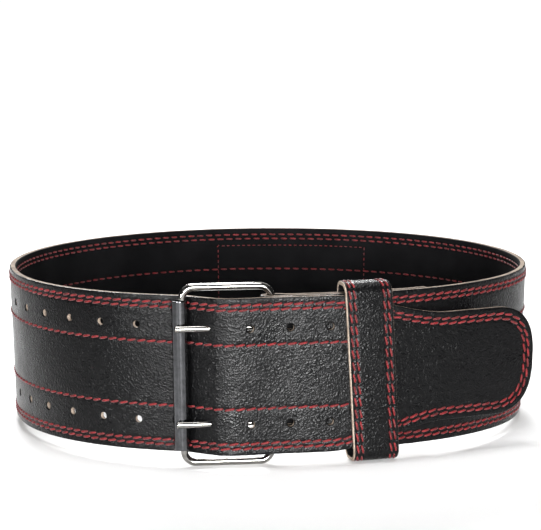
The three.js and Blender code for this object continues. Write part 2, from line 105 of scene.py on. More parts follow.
# %% The oval as a table of points, lengths and directions
def oval_table(count=40001):
    """Points on the superellipse x = a cos^p, y = b sin^p, turned by WAIST_TURN, from the front on."""
    angle = np.linspace(0, 2 * np.pi, count) - np.pi / 2
    across, back = np.cos(angle), np.sin(angle)
    power = np.where(back < 0, 2 / FRONT_FULLNESS, 2 / BACK_FULLNESS)
    depth = np.where(back < 0, FRONT_DEPTH, BACK_DEPTH)
    x = WAIST_HALF_WIDTH * np.sign(across) * np.abs(across) ** power
    y = depth * np.sign(back) * np.abs(back) ** power
    c, s = math.cos(WAIST_TURN), math.sin(WAIST_TURN)
    return np.stack([c * x - s * y, s * x + c * y], axis=1)


def lengths_of(points, closed=False):
    """The length gone at each point of a polyline: the running sum of the distances between points."""
    if closed:
        points = np.concatenate([points, points[:1]])
    return np.concatenate([[0], np.cumsum(np.linalg.norm(np.diff(points, axis=0), axis=1))])


def read_table(where, stations, values):
    """Each column of values at where, with straight lines between the stations."""
    return np.stack([np.interp(where, stations, column) for column in values.T], axis=-1)


def unit(vectors):
    """Vectors divided by their own lengths."""
    return vectors / np.linalg.norm(vectors, axis=-1, keepdims=True)


oval = oval_table()
oval_gone = lengths_of(oval)
waist_length = oval_gone[-1]
oval_ahead = unit(np.gradient(oval, oval_gone, axis=0))
oval_ahead[0] = oval_ahead[-1] = unit(oval_ahead[1] + oval_ahead[-2])


def out_of(ahead):
    """The direction away from the waist: ahead turned a quarter turn clockwise."""
    return np.stack([ahead[..., 1], -ahead[..., 0]], axis=-1)


def on_waist(along, out):
    """Plan point so far along the waist from the heel of the buckle, and so far out from it."""
    where = np.mod(np.asarray(along, float) - HEEL_BESIDE_NOSE, waist_length)
    ahead = unit(read_table(where, oval_gone, oval_ahead))
    return read_table(where, oval_gone, oval) + np.asarray(out, float)[..., None] * out_of(ahead)


print("round the waist:", round(waist_length, 1), "mm")

# %% [markdown]
# ## The strap's route
# The strap starts at the end of its fold, turns round the heel bar, goes once round the waist, dips
# under the roller, climbs over the prongs and lies on its own buckle end. A modifier could bend a flat
# strap, but its lengths would stretch. So the route is drawn from lines, arcs and Bezier curves in
# distances along the waist and out from it, and then wrapped on the oval.

# %% The route in distances along and out
wire_room = WIRE_RADIUS + METAL_GAP
fold_line = -(STRAP_THICKNESS + LAYER_GAP)
heel_radius = wire_room + HALF_THICK
bar_along, bar_out = heel_radius + HALF_THICK, fold_line / 2
roller_along, roller_out = bar_along - BUCKLE_REACH, HALF_THICK + METAL_GAP + ROLLER_RADIUS
tongue_line = STRAP_THICKNESS + RIVET_HEAD_HEIGHT + LAYER_GAP
over_heel = bar_out + heel_radius + STRAP_THICKNESS + LAYER_GAP
keeper_end = KEEPER_AT + KEEPER_WIDTH / 2


def straight(start, end, step=0.25):
    """Points from start to end at even steps."""
    count = max(2, int(math.dist(start, end) / step))
    share = np.linspace(0, 1, count)[:, None]
    return (1 - share) * np.array(start) + share * np.array(end)


def bezier(a, b, c, d, count=160):
    """Cubic Bezier curve: the four points weighted by the Bernstein polynomials."""
    t = np.linspace(0, 1, count)[:, None]
    a, b, c, d = (np.array(p, float) for p in (a, b, c, d))
    return (1 - t) ** 3 * a + 3 * (1 - t) ** 2 * t * b + 3 * (1 - t) * t**2 * c + t**3 * d


def arc(centre, radius, start, end, count=160):
    """Points on a circle round centre, from the start angle to the end angle."""
    angle = np.linspace(start, end, count)
    return np.array(centre) + radius * np.stack([np.cos(angle), np.sin(angle)], axis=1)


def strap_route():
    """The stretches of the route, in order, as lists of (along, out) points."""
    quarter = math.pi / 2
    opening = (FOLD_OPENS_AT - bar_along) / 2
    inner, outer = bar_out - heel_radius, bar_out + heel_radius
    far, heel = waist_length + roller_along, waist_length + bar_along
    wrap = arc((far, roller_out), roller_out, -quarter, RAMP_ANGLE - quarter)
    crest_along = far + RAMP_SHARE * BUCKLE_REACH
    crest_out = wrap[-1][1] + math.tan(RAMP_ANGLE) * (crest_along - wrap[-1][0])
    rise, fall = CREST_RISE * BUCKLE_REACH, CREST_FALL * BUCKLE_REACH
    settle = FOLD_OPENS_AT / 2
    return {
        "fold": straight((FOLD_LENGTH, fold_line), (FOLD_OPENS_AT, fold_line)),
        "closing": bezier((FOLD_OPENS_AT, fold_line), (FOLD_OPENS_AT - opening, fold_line),
                          (bar_along + opening, inner), (bar_along, inner)),
        "heel": arc((bar_along, bar_out), heel_radius, -quarter, -3 * quarter),
        "opening": bezier((bar_along, outer), (bar_along + opening, outer),
                          (FOLD_OPENS_AT - opening, 0), (FOLD_OPENS_AT, 0)),
        "waist": straight((FOLD_OPENS_AT, 0), (far, 0)),
        "wrap": wrap,
        "ramp": straight(wrap[-1], (crest_along, crest_out)),
        "crest": bezier((crest_along, crest_out),
                        (crest_along + rise * math.cos(RAMP_ANGLE), crest_out + rise * math.sin(RAMP_ANGLE)),
                        (heel - fall, over_heel + CREST_SLOPE * fall), (heel, over_heel)),
        "settling": bezier((heel, over_heel), (heel + settle, over_heel - CREST_SLOPE * settle),
                           (heel + settle, tongue_line), (heel + 2 * settle, tongue_line)),
        "tongue": straight((heel + 2 * settle, tongue_line), (waist_length + keeper_end, tongue_line)),
    }


# %% The route on the oval, by the strap's own length
stretches = strap_route()
route = np.concatenate([points[:-1] for points in stretches.values()] + [stretches["tongue"][-1:]])
laid = on_waist(route[:, 0], route[:, 1])
laid_gone = lengths_of(laid)
laid_length = laid_gone[-1]
laid_ahead = unit(np.gradient(laid, laid_gone, axis=0))
ends = np.cumsum([len(points) - 1 for points in stretches.values()])
stretch_end = {name: laid_gone[i] for name, i in zip(stretches, ends)}


def strap_line(s):
    """The strap's middle line and its direction at the length s. Past the keeper the tongue is an
    arc of the radius TONGUE_BEND, and before its first point the line runs on straight."""
    s = np.asarray(s, float)
    point = read_table(s, laid_gone, laid)
    ahead = unit(read_table(s, laid_gone, laid_ahead))
    bend = np.maximum(s - laid_length, 0)[..., None] / TONGUE_BEND
    side = np.stack([-ahead[..., 1], ahead[..., 0]], axis=-1)
    point = point + TONGUE_BEND * (np.sin(bend) * ahead + (1 - np.cos(bend)) * side)
    point = point + np.minimum(s, 0)[..., None] * ahead
    return point, np.cos(bend) * ahead + np.sin(bend) * side


def on_strap(s, z, up):
    """The point at the length s, at the height z, and up from the middle line on the grain side."""
    point, ahead = strap_line(s)
    plan = point + np.asarray(up, float)[..., None] * out_of(ahead)
    return np.concatenate([plan, np.broadcast_to(z, plan.shape[:-1])[..., None]], axis=-1)


print("laid length:", round(laid_length, 1), "mm, ends of its stretches:",
      {name: round(value, 1) for name, value in stretch_end.items()})

# %% [markdown]
# ## The buckle's plane
# The heel bar and the roller set a plane. Each prong hooks on the heel bar and lies on the roller, and
# where it crosses the strap, the strap has its prong hole. The crossing is worked out and not placed by
# eye, so prong and hole stay together. It also fixes where the tongue ends.

# %% Bars, shank and the strap's full length
bar_point = on_waist(bar_along, bar_out)
roller_point = on_waist(roller_along, roller_out)
reach = unit(roller_point - bar_point)
plane_out = np.array([-reach[1], reach[0]])
bar_to_roller = math.dist(bar_point, roller_point)
eye_radius = wire_room + PRONG_RADIUS
over_roller = ROLLER_RADIUS + METAL_GAP + PRONG_RADIUS
tilt = math.asin((over_roller - eye_radius) / bar_to_roller)
shank_ahead = np.array([reach[0] * math.cos(tilt) - reach[1] * math.sin(tilt),
                        reach[0] * math.sin(tilt) + reach[1] * math.cos(tilt)])
shank_out = np.array([-shank_ahead[1], shank_ahead[0]])
shank_start = bar_point + eye_radius * shank_out


def crossing(up, samples=4001):
    """The length at which the strap's layer at up meets the line of the shanks: the place where the
    distance to that line changes sign."""
    s = np.linspace(stretch_end["wrap"], stretch_end["crest"], samples)
    point, ahead = strap_line(s)
    distance = (point + up * out_of(ahead) - shank_start) @ shank_out
    return float(np.interp(0, distance, s))


prong_at = crossing(0)
strap_length = prong_at + FIRST_HOLE_FROM_TIP + (PRONG_HOLE - 1) * HOLE_PITCH
print("strap length:", round(strap_length, 1), "mm, prongs at", round(prong_at, 1))

# %% [markdown]
# ## Into the frame
# The loop is a little wider at its top. It leans back, because the buckle reaches lower than the
# strap, and it stands with the middle of its box on the origin. The roller shows where that is: the
# middle of its box in the frame is the middle of the roller here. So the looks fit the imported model
# wherever it stands.

# %% From belt millimetres to frame metres
BELT_DEPTH = 344.68  # the loop from front to back, before it leans
lean = math.atan(BUCKLE_PAST_STRAP / BELT_DEPTH)


def leaned(points):
    """Points turned about X by the lean: y gains height times its sine, and z loses depth times it."""
    x, y, z = np.moveaxis(points, -1, 0)
    c, s = math.cos(lean), math.sin(lean)
    return np.stack([x, c * y + s * z, c * z - s * y], axis=-1)


low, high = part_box("roller")
roller_middle = (np.array(low) + np.array(high)) / 2 * 1000
stand = roller_middle - leaned(np.append(roller_point, 0.0))


def in_frame(points):
    """Belt millimetres as frame metres: widened with height, leaned back and moved on to its stand."""
    points = np.array(points, float)
    points[..., 0] *= 1 + TOP_WIDER * points[..., 2] / HALF_STRAP
    return (leaned(points) + stand) / 1000


print("lean:", round(math.degrees(lean), 2), "degrees, stand:", stand.round(2))

# %% [markdown]
# ## Meshes from arrays
# The pieces could be modelled by hand or with modifiers. Here each one is worked out as arrays of
# points and of faces, so that it follows the sizes above. These helpers put such arrays into Blender,
# look that the faces point outwards, and tell the frame what the piece is.


# %% Faces that point outwards
def facing_out(points, faces):
    """The faces, turned round if the closed body they enclose has a negative volume. The volume is
    the sum of the corners' triple products."""
    a, b, c = (points[faces[:, k]] for k in range(3))
    volume = np.einsum("ij,ij->", a, np.cross(b, c))
    if faces.shape[1] == 4:
        volume += np.einsum("ij,ij->", a, np.cross(c, points[faces[:, 3]]))
    return (faces, False) if volume > 0 else (faces[:, ::-1], True)


# %% A piece from its arrays
def make_piece(name, points, quads, materials, replaces=(), caps=(), worn=None, uv=None):
    """A mesh object from points in belt millimetres and faces by number. worn gives each face's
    material, uv a plane point for each corner of each quad."""
    points = in_frame(points).reshape(-1, 3)
    quads, turned = facing_out(points, np.asarray(quads))
    faces = quads.tolist() + [cap[::-1] if turned else cap for cap in np.asarray(caps, int).tolist()]
    mesh = bpy.data.meshes.new(name)
    mesh.from_pydata(points.tolist(), [], faces)
    for material in materials:
        mesh.materials.append(material)
    if worn is not None:
        mesh.polygons.foreach_set("material_index", np.asarray(worn, np.int32))
    if uv is not None:
        layer = mesh.uv_layers.new(name="cloth")
        corners = np.zeros((len(mesh.loops), 2), np.float32)
        flat = uv[:, ::-1] if turned else uv
        corners[: flat.shape[0] * 4] = flat.reshape(-1, 2)
        layer.data.foreach_set("uv", corners.ravel())
    mesh.polygons.foreach_set("use_smooth", np.ones(len(faces), bool))
    mesh.update()
    piece = bpy.data.objects.new(name, mesh)
    bpy.context.scene.collection.objects.link(piece)
    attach(piece, "root")
    if replaces:
        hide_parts(*replaces)
    low, high = points.min(axis=0) * 1000, points.max(axis=0) * 1000
    print(name, len(points), "points,", len(faces), "faces, box", low.round(1), high.round(1))
    return piece


# %% Strips of quads
def strips(first, second, closed=True):
    """Quads between two rows of point numbers: each joins two neighbours of one row to the same two
    of the other."""
    if closed:
        after_first, after_second = np.roll(first, -1), np.roll(second, -1)
        return np.stack([first, second, after_second, after_first], axis=1)
    return np.stack([first[:-1], second[:-1], second[1:], first[1:]], axis=1)



# %% [markdown]
# ## Finishes
# The belt has three leathers: the grain side is black, glossy and pebbled, the lining is flat black,
# and the cut edge shows raw tan. Pictures of leather could be wrapped round the pieces, but they would
# bring seams and a fixed size. Noise and voronoi patterns that read the object's own coordinates keep
# their size everywhere. The bumps stay low, in three sizes: slow waves, creases and fine pebbles.
# Higher ones average out from afar and turn the leather an even grey.


# %% A finish and its nodes
class Finish:
    """A material with a Principled shader, and short calls that add nodes to it. The colour is for
    viewers that read no nodes: each finish links its own shades to the shader."""

    def __init__(self, name, colour, roughness, metallic=0.0, specular=0.5):
        self.material = bpy.data.materials.new(name)
        self.material.use_nodes = True
        self.tree = self.material.node_tree
        self.shader = self.tree.nodes["Principled BSDF"]
        self.set("Base Color", (*colour, 1))
        self.set("Roughness", roughness)
        self.set("Metallic", metallic)
        self.set("Specular IOR Level", specular)

    def fill(self, socket, value):
        """Link the socket to another node's output, or give it a plain value."""
        if isinstance(value, bpy.types.NodeSocket):
            self.tree.links.new(value, socket)
        else:
            socket.default_value = value

    def set(self, name, value):
        """Fill one of the shader's sockets."""
        self.fill(self.shader.inputs[name], value)

    def add(self, kind, settings=None, **inputs):
        """A node with its settings made and its named inputs filled."""
        node = self.tree.nodes.new(kind)
        for key, value in (settings or {}).items():
            setattr(node, key, value)
        for key, value in inputs.items():
            self.fill(node.inputs[key], value)
        return node

    def place(self, output="Object"):
        """The point of the surface in the object's own coordinates, or in its UV map."""
        return self.add("ShaderNodeTexCoord").outputs[output]

    def noise(self, where, scale, detail=3.0, rough=0.5):
        """Cloudy noise between 0 and 1: about scale clouds to a unit, with finer ones in them."""
        return self.add("ShaderNodeTexNoise", None, Vector=where, Scale=scale, Detail=detail,
                        Roughness=rough).outputs["Fac"]

    def math(self, operation, *values):
        """The result of one sum on one or two values."""
        node = self.add("ShaderNodeMath", {"operation": operation})
        for socket, value in zip(node.inputs, values):
            self.fill(socket, value)
        return node.outputs[0]

    def ramp(self, source, low, high, start=0.0, end=1.0):
        """Greys or colours that go from low to high as the source goes from start to end."""
        grey = np.isscalar(low)
        first, last = (low, high) if grey else (0.0, 1.0)
        share = self.add("ShaderNodeMapRange", {"clamp": True}, **{
            "Value": source, "From Min": start, "From Max": end, "To Min": first, "To Max": last,
        }).outputs["Result"]
        if grey:
            return share
        return self.add("ShaderNodeMix", {"data_type": "RGBA"}, Factor=share, A=(*low, 1),
                        B=(*high, 1)).outputs["Result"]

    def bump(self, height, strength, distance, **below):
        """The surface's direction tilted by the slope of the height, which is distance metres at 1.
        Normal=... lays the bumps on coarser ones."""
        return self.add("ShaderNodeBump", None, Height=height, Strength=strength, Distance=distance,
                        **below).outputs["Normal"]


# %% Leather, grain side
def grain_leather(name):
    """Creases: the distance of cloudy noise from its middle value, which makes sharp valleys between
    soft pebbles. The distance to the edges of fine voronoi cells breaks them up. Slow waves lie under
    both, and slow clouds change the gloss."""
    finish = Finish(name, (0.003, 0.003, 0.0032), roughness=0.33, specular=0.15)
    where = finish.place()
    clouds = finish.noise(where, scale=460.0, detail=1.5)
    creases = finish.math("ABSOLUTE", finish.math("SUBTRACT", clouds, 0.5))
    cells = finish.add("ShaderNodeTexVoronoi", {"feature": "DISTANCE_TO_EDGE"}, Vector=where, Scale=560.0)
    pebbles = finish.ramp(cells.outputs["Distance"], 0.0, 1.0, start=0.0, end=0.3)
    normal = finish.bump(finish.noise(where, scale=48.0, detail=2.0), strength=0.5, distance=0.0012)
    normal = finish.bump(creases, strength=1.0, distance=0.00085, Normal=normal)
    finish.set("Normal", finish.bump(pebbles, strength=1.0, distance=0.00005, Normal=normal))
    gloss = finish.noise(where, scale=38.0, detail=4.0, rough=0.6)
    finish.set("Roughness", finish.ramp(gloss, 0.23, 0.34, start=0.3, end=0.7))
    shades = (0.0012, 0.0012, 0.0014), (0.0035, 0.0035, 0.0037)
    finish.set("Base Color", finish.ramp(clouds, *shades, start=0.35, end=0.7))
    return finish.material


# %% Lining and raw edge
def lining_leather(name):
    """Flat black split leather: fine noise in the nap, and a little lighter where it is rubbed."""
    finish = Finish(name, (0.003, 0.003, 0.0035), roughness=0.85, specular=0.08)
    where = finish.place()
    nap = finish.noise(where, scale=1500.0, detail=4.0, rough=0.7)
    rubbed = finish.noise(where, scale=30.0, detail=4.0, rough=0.6)
    finish.set("Normal", finish.bump(nap, strength=0.35, distance=0.0002))
    shades = (0.0015, 0.0015, 0.0018), (0.005, 0.005, 0.0055)
    finish.set("Base Color", finish.ramp(rubbed, *shades, start=0.35, end=0.7))
    return finish.material


def raw_leather(name):
    """Tan cut edge: fine fibres and broad stains, both of noise, whose product gives the shade."""
    finish = Finish(name, (0.4, 0.29, 0.19), roughness=0.9, specular=0.2)
    where = finish.place()
    fibres = finish.noise(where, scale=900.0, detail=5.0, rough=0.7)
    stains = finish.noise(where, scale=60.0, rough=0.55)
    finish.set("Normal", finish.bump(fibres, strength=0.6, distance=0.0003))
    shades = (0.14, 0.108, 0.083), (0.38, 0.31, 0.25)
    finish.set("Base Color", finish.ramp(finish.math("MULTIPLY", fibres, stains), *shades,
                                         start=0.12, end=0.4))
    return finish.material


grain = grain_leather("black_grain_leather")
lining = lining_leather("black_lining")
raw_edge = raw_leather("raw_tan_edge")
leathers = [grain, raw_edge, lining]
print("leathers:", [leather.name for leather in leathers])

# %% [markdown]
# ## A slab of leather
# A real strap is cut flat and then bent, and this one is made in that order: an outline, two faces, a
# rounded rim and holes. Boolean cuts would leave long thin faces round the holes. So the slab is a grid
# of lengths and heights, and a function carries each point to its place. A hole takes the grid cells
# round it away and puts rings in their place, which turn from the square gap to the round edge.

# %% Pierce a grid
HOLE_MARGIN = 1.2
RING_SHARES = (0.4, 0.75, 1.0)


def border_of(grid):
    """The numbers on the grid's four sides, once round."""
    return np.concatenate([grid[:-1, 0], grid[-1, :-1], grid[:0:-1, -1], grid[0, :0:-1]])


def pierce(lengths, heights, grid, holes):
    """grid numbers the points of the (length, height) net. Each hole is (place on the grain side,
    place on the flesh side, half length, radius): all points nearer to a line of that half length
    than the radius are open. Gives points for both sides, cells, and for each hole its loop of
    numbers, its edge on both sides and the directions away from its middle."""
    sides = [np.stack([lengths, heights], axis=-1).reshape(-1, 2) for _ in range(2)]
    kept = np.ones((grid.shape[0] - 1, grid.shape[1] - 1), bool)
    rings, loops = [], []
    count = grid.size
    for outside, inside, half_length, radius in holes:
        margin = half_length + radius + HOLE_MARGIN
        first = np.searchsorted(lengths[:, 0], min(outside[0], inside[0]) - margin) - 1
        last = np.searchsorted(lengths[:, 0], max(outside[0], inside[0]) + margin)
        low = np.searchsorted(heights[first], outside[1] - radius - HOLE_MARGIN) - 1
        high = np.searchsorted(heights[first], outside[1] + radius + HOLE_MARGIN)
        kept[first:last, low:high] = False
        edge = border_of(grid[first : last + 1, low : high + 1])
        rims, ways = [], []
        for side, centre in zip(sides, (outside, inside)):
            foot = np.stack([np.clip(side[edge, 0], centre[0] - half_length, centre[0] + half_length),
                             np.full(len(edge), centre[1])], axis=1)
            ways.append(unit(side[edge] - foot))
            rims.append(foot + radius * ways[-1])
        previous = edge
        for share in RING_SHARES:
            ring = count + np.arange(len(edge))
            count += len(edge)
            rings.append(strips(previous, ring)[:, [0, 3, 2, 1]])
            for k, rim in enumerate(rims):
                sides[k] = np.concatenate([sides[k], (1 - share) * sides[k][edge] + share * rim])
            previous = ring
        loops.append((previous, rims, ways))
    cells = np.stack([grid[:-1, :-1], grid[1:, :-1], grid[1:, 1:], grid[:-1, 1:]], axis=-1)[kept]
    return sides, np.concatenate([cells, *rings]), loops


# %% Close the slab: faces, rim and hole walls
RIM_TURN = np.radians([60, 30, 0])
WALL_PARTS = (0, 0, 0, 1, 2, 2, 2)


def slab(carry, lengths, heights, half_thick, rounding, sink, holes=(), middle=0.0):
    """A closed slab from a net of lengths and heights. carry takes (length, height, up) to a place.
    The rim goes out from the net's border by the rounding, round a quarter circle, down and back.
    sink says how far the faces are pressed in at a point. Gives points, quads and each quad's part:
    0 grain side, 1 cut edge, 2 flesh side."""
    grid = np.arange(lengths.size).reshape(lengths.shape)
    (outer, inner), cells, loops = pierce(lengths, heights, grid, holes)
    points = [carry(*side.T, middle + way * (half_thick - sink(*side.T)))
              for side, way in ((outer, 1), (inner, -1))]
    quads, parts = [cells, cells[:, ::-1] + len(outer)], [0, 2]
    count = 2 * len(outer)
    arms = [(rounding * np.cos(a), half_thick - rounding + rounding * np.sin(a)) for a in RIM_TURN]
    profile = arms + [(out, -up) for out, up in arms[::-1]]

    def wall(top, bottom, rims, ways, way):
        """Rows of points from one face's edge to the other's, moved along ways by the profile. way is
        1 for the rim, which goes outwards, and -1 for a hole, which goes inwards."""
        nonlocal count
        rows = [top]
        for k, (out, up) in enumerate(profile):
            side = 2 * k // len(profile)
            spot = rims[side] + way * out * ways[side]
            points.append(carry(*spot.T, np.full(len(spot), middle + up)))
            rows.append(count + np.arange(len(top)))
            count += len(top)
        for first, second, part in zip(rows, [*rows[1:], bottom], WALL_PARTS):
            quads.append(strips(first, second)[:, ::way])
            parts.append(part)

    border = border_of(grid)
    loop = outer[border]
    run = np.roll(loop, -1, axis=0) - np.roll(loop, 1, axis=0)
    away = unit(np.stack([run[:, 1], -run[:, 0]], axis=1))
    wall(border, border + len(outer), (loop, loop), (away, away), 1)
    for edge, rims, ways in loops:
        wall(edge, edge + len(outer), rims, ways, -1)
    worn = np.concatenate([np.full(len(q), part) for q, part in zip(quads, parts)])
    return np.concatenate(points), np.concatenate(quads), worn


# %% [markdown]
# ## The strap
# The strap is a long band with small corners at the folded end and a tapered tongue with a round tip.
# Its outline could be a traced curve. A formula for the half width at each length keeps the sides even,
# and gives the stitch rows the same shape further in. The tip is a quarter of a superellipse on each
# side. The stitches pull the leather in, so the faces sink a little along each row.

# %% The strap's outline
RIM = 0.8
EDGE_ROWS = (4.4, 7.5)
SINGLE_ROW = 20.7
SINGLE_TURN_FROM_TIP = 120
ROW_DEPTH, ROW_WIDTH = 0.32, 0.9


def half_width(s, inset=0.0):
    """Half the strap's width at the length s, less the inset, for an outline moved in all round.
    The folded end has quarter circles, the taper is a smooth step, and the tip is a superellipse."""
    s = np.asarray(s, float)
    from_tip = strap_length - s
    share = np.clip((from_tip - NARROW_FROM_TIP) / (TAPER_FROM_TIP - NARROW_FROM_TIP), 0, 1)
    wide = HALF_TONGUE + (HALF_STRAP - HALF_TONGUE) * share**2 * (3 - 2 * share) - inset
    corner = FOLD_CORNER - inset
    short = np.clip(FOLD_CORNER - s, 0, corner)
    wide = np.where(s < FOLD_CORNER, HALF_STRAP - FOLD_CORNER + np.sqrt(corner**2 - short**2), wide)
    tip = np.clip((TIP_LENGTH - from_tip) / (TIP_LENGTH - inset), 0, 1)
    end = (HALF_TONGUE - inset) * (1 - tip**TIP_FULLNESS) ** (1 / TIP_FULLNESS)
    return np.where(from_tip < TIP_LENGTH, end, wide)


def row_depth(s, z):
    """How far a stitch row has pulled the face in: a bell curve over the distance to each row. The
    distance from the edge is half the width less the height, or how far in the tip's superellipse
    the point lies."""
    width = np.abs(z)
    from_tip = strap_length - s
    edge = np.minimum(half_width(s) - width, s)
    ahead = np.maximum(TIP_LENGTH - from_tip, 0) / TIP_LENGTH
    level = (ahead**TIP_FULLNESS + (width / HALF_TONGUE) ** TIP_FULLNESS) ** (1 / TIP_FULLNESS)
    edge = np.where(from_tip < TIP_LENGTH, (1 - level) * HALF_TONGUE, edge)
    past = np.maximum(s - (strap_length - SINGLE_TURN_FROM_TIP - SINGLE_ROW), 0)
    single = np.abs(np.hypot(past, width) - SINGLE_ROW)
    dent = sum(np.exp(-(((edge - row) / ROW_WIDTH) ** 2)) for row in EDGE_ROWS)
    return ROW_DEPTH * (dent + np.exp(-((single / ROW_WIDTH) ** 2)))


print("half width in the middle of the taper:",
      float(half_width(strap_length - (TAPER_FROM_TIP + NARROW_FROM_TIP) / 2)), "mm")

# %% The strap's net, lengthwise
FLAT_STEP, FOLD_STEP, HEEL_STEP, TONGUE_STEP = 4, 2, 0.9, 3
FOLD_MARGIN = 12
HOLE_PARTS, HOLE_LEAD = 15, 4


def steps(start, end, step):
    """Even steps from start up to end, without the last one."""
    return np.linspace(start, end, max(1, math.ceil((end - start) / step)), endpoint=False)


hole_lengths = [strap_length - FIRST_HOLE_FROM_TIP - i * HOLE_PITCH for i in range(HOLE_COUNT)]
fine = HOLE_PITCH / HOLE_PARTS
before_holes, past_holes = hole_lengths[-1] - HOLE_LEAD * fine, hole_lengths[0] + HOLE_LEAD * fine
fold_ends, opened = stretch_end["fold"] - FOLD_MARGIN, stretch_end["opening"] + FOLD_MARGIN
tip_angle = np.linspace(0, math.pi / 2, 34)[:-2]
net_lengths = np.concatenate([
    RIM + (FOLD_CORNER - RIM) * (1 - np.cos(np.linspace(0, math.pi / 2, 9)[:-1])),
    steps(FOLD_CORNER, fold_ends, FLAT_STEP),
    steps(fold_ends, stretch_end["closing"], FOLD_STEP),
    steps(stretch_end["closing"], stretch_end["heel"], HEEL_STEP),
    steps(stretch_end["heel"], opened, FOLD_STEP),
    steps(opened, before_holes, FLAT_STEP),
    before_holes + fine * np.arange(round((past_holes - before_holes) / fine)),
    steps(past_holes, strap_length - TIP_LENGTH, TONGUE_STEP),
    strap_length - TIP_LENGTH + (TIP_LENGTH - RIM) * np.sin(tip_angle) ** (2 / TIP_FULLNESS),
])

# %% The strap's net, in height
# The lines lie close together where a row of stitches or of holes is.
EDGE_LINES = np.array([RIM, 2.0, 3.0, 3.7, 4.3, 4.9, 5.85, 6.8, 7.4, 8.0, 9.0, 10.6, 12.5])
MIDDLE_LINES = np.array([0, 3, 6, 9, 12, 15, 17.6, 19.2, 20.1, 20.7, 21.3, 22.2, 24, 26,
                         27.6, 29.2, 31, 32.8, 34.4, 36])
half_inside = HALF_STRAP - EDGE_LINES[-1]
nominal = np.concatenate([MIDDLE_LINES, HALF_STRAP - EDGE_LINES[::-1]])
nominal = np.concatenate([-nominal[:0:-1], nominal])


def net_heights(s):
    """Height of each line of the net at the length s. Near the edges a line keeps its distance from
    the edge, further in the lines close up evenly, and in the tip and the corners all of them do."""
    level = np.abs(nominal)[None, :]

    def closed_up(half):
        """The lines of a strap that is half wide: kept near the edge, and closed up further in."""
        return np.where(level >= half_inside, half - (HALF_STRAP - level),
                        level * (half - EDGE_LINES[-1]) / half_inside)

    wide = half_width(s, RIM)[:, None]
    at_tip = closed_up(HALF_TONGUE) * wide / (HALF_TONGUE - RIM)
    at_fold = level * wide / (HALF_STRAP - RIM)
    from_tip = strap_length - s[:, None]
    lines = np.where(s[:, None] < FOLD_CORNER, at_fold, closed_up(wide + RIM))
    return np.sign(nominal)[None, :] * np.where(from_tip < TIP_LENGTH, at_tip, lines)


print("net of", len(net_lengths), "lengths by", len(nominal), "heights")

# %% The strap's holes
PRONG_HOLE_HALF_LENGTH, PRONG_HOLE_PLAY = 1.4, 0.15
prong_out, prong_in = crossing(HALF_THICK), crossing(-HALF_THICK)
folded = laid_gone < stretch_end["closing"]
slot_start = float(np.interp(SLOT_INSIDE, route[folded, 0][::-1], laid_gone[folded][::-1]))
slot_end = stretch_end["opening"] + SLOT_OUTSIDE - FOLD_OPENS_AT
slot_middle = (slot_start + slot_end) / 2
slot_half = (slot_end - slot_start) / 2 - SLOT_HALF_WIDTH
strap_holes = []
for z in (HOLE_HEIGHT, -HOLE_HEIGHT):
    strap_holes.append(((slot_middle, z), (slot_middle, z), slot_half, SLOT_HALF_WIDTH))
    for number, s in enumerate(hole_lengths, 1):
        if number == PRONG_HOLE:
            strap_holes.append(((prong_out, z), (prong_in, z), PRONG_HOLE_HALF_LENGTH,
                                PRONG_RADIUS + PRONG_HOLE_PLAY))
        else:
            strap_holes.append(((s, z), (s, z), 0.0, HOLE_RADIUS))
print("prong hole from", round(prong_out, 1), "to", round(prong_in, 1), "and slot from",
      round(slot_start, 1), "to", round(slot_end, 1))

# %% The strap itself
net_z = net_heights(net_lengths)
net_s = np.broadcast_to(net_lengths[:, None], net_z.shape)
points, quads, worn = slab(on_strap, net_s, net_z, HALF_THICK, RIM, row_depth, strap_holes)
make_piece("strap_leather", points, quads, leathers, ["strap"], worn=worn)

# %% [markdown]
# ## The stitches
# Each stitch is a short piece of thick thread that comes up through one needle hole and goes down
# through the next. A bump map could draw it, but the real one stands up, shines and casts a shadow. So
# it is a tube whose middle stands on the leather and whose ends sink into it. A lock stitch in thick
# thread lies a little aslant, so each one is turned on its row.


# %% Thread
def thread_finish(name, colour):
    """Red twisted thread: a wave that runs round and along each stitch makes the plies as bumps. The same
    wave is painted into the colour: painted shade in the grooves between the plies and a painted highlight
    on their crests, times slow noise for uneven dye, from a darker to a lighter share of the colour."""
    finish = Finish(name, colour, roughness=0.5, specular=0.3)
    finish.set("Sheen Weight", 0.1)
    finish.set("Sheen Roughness", 0.4)
    twist = finish.add("ShaderNodeTexWave", {"bands_direction": "DIAGONAL"}, Vector=finish.place("UV"),
                       Scale=0.9).outputs["Fac"]
    finish.set("Normal", finish.bump(twist, strength=0.5, distance=0.0002))
    dye = finish.noise(finish.place(), scale=240.0, detail=2.0)
    # Painted shade and highlight: the ply wave darkens the grooves and lightens the crests, times the dye
    # noise.
    dye_and_painted_ply_shade = finish.math("MULTIPLY", dye, finish.ramp(twist, 0.75, 1.1))
    dark, light = (tuple(share * part for part in colour) for share in (0.55, 1.5))
    finish.set("Base Color", finish.ramp(dye_and_painted_ply_shade, dark, light, start=0.3, end=0.7))
    return finish.material


red_thread = thread_finish("red_thread", (0.118, 0.0035, 0.005))

# %% A row's needle holes
AHEAD_SHARE = 0.2


def spread(row, pitch, closed=True):
    """Even places along a polyline, and the direction there: the length gone is cut in whole parts."""
    gone = lengths_of(row, closed)
    ring = np.concatenate([row, row[:1]]) if closed else row
    count = round(gone[-1] / pitch)
    at = (np.arange(count) + 0.5) * gone[-1] / count
    step = AHEAD_SHARE * pitch
    ahead = read_table(np.minimum(at + step, gone[-1]), gone, ring) - read_table(at - step, gone, ring)
    return read_table(at, gone, ring), unit(ahead)


# %% Tubes of thread
ALONG_STITCH = np.array([-1.0, -0.86, -0.45, 0.0, 0.45, 0.86, 1.0])
STITCH_SIDES, THREAD_TURNS = 6, 5.0
PROUD, DIVE, THINNER_AT_ENDS, FLATTENED = 0.45, 1.9, 0.35, 0.85


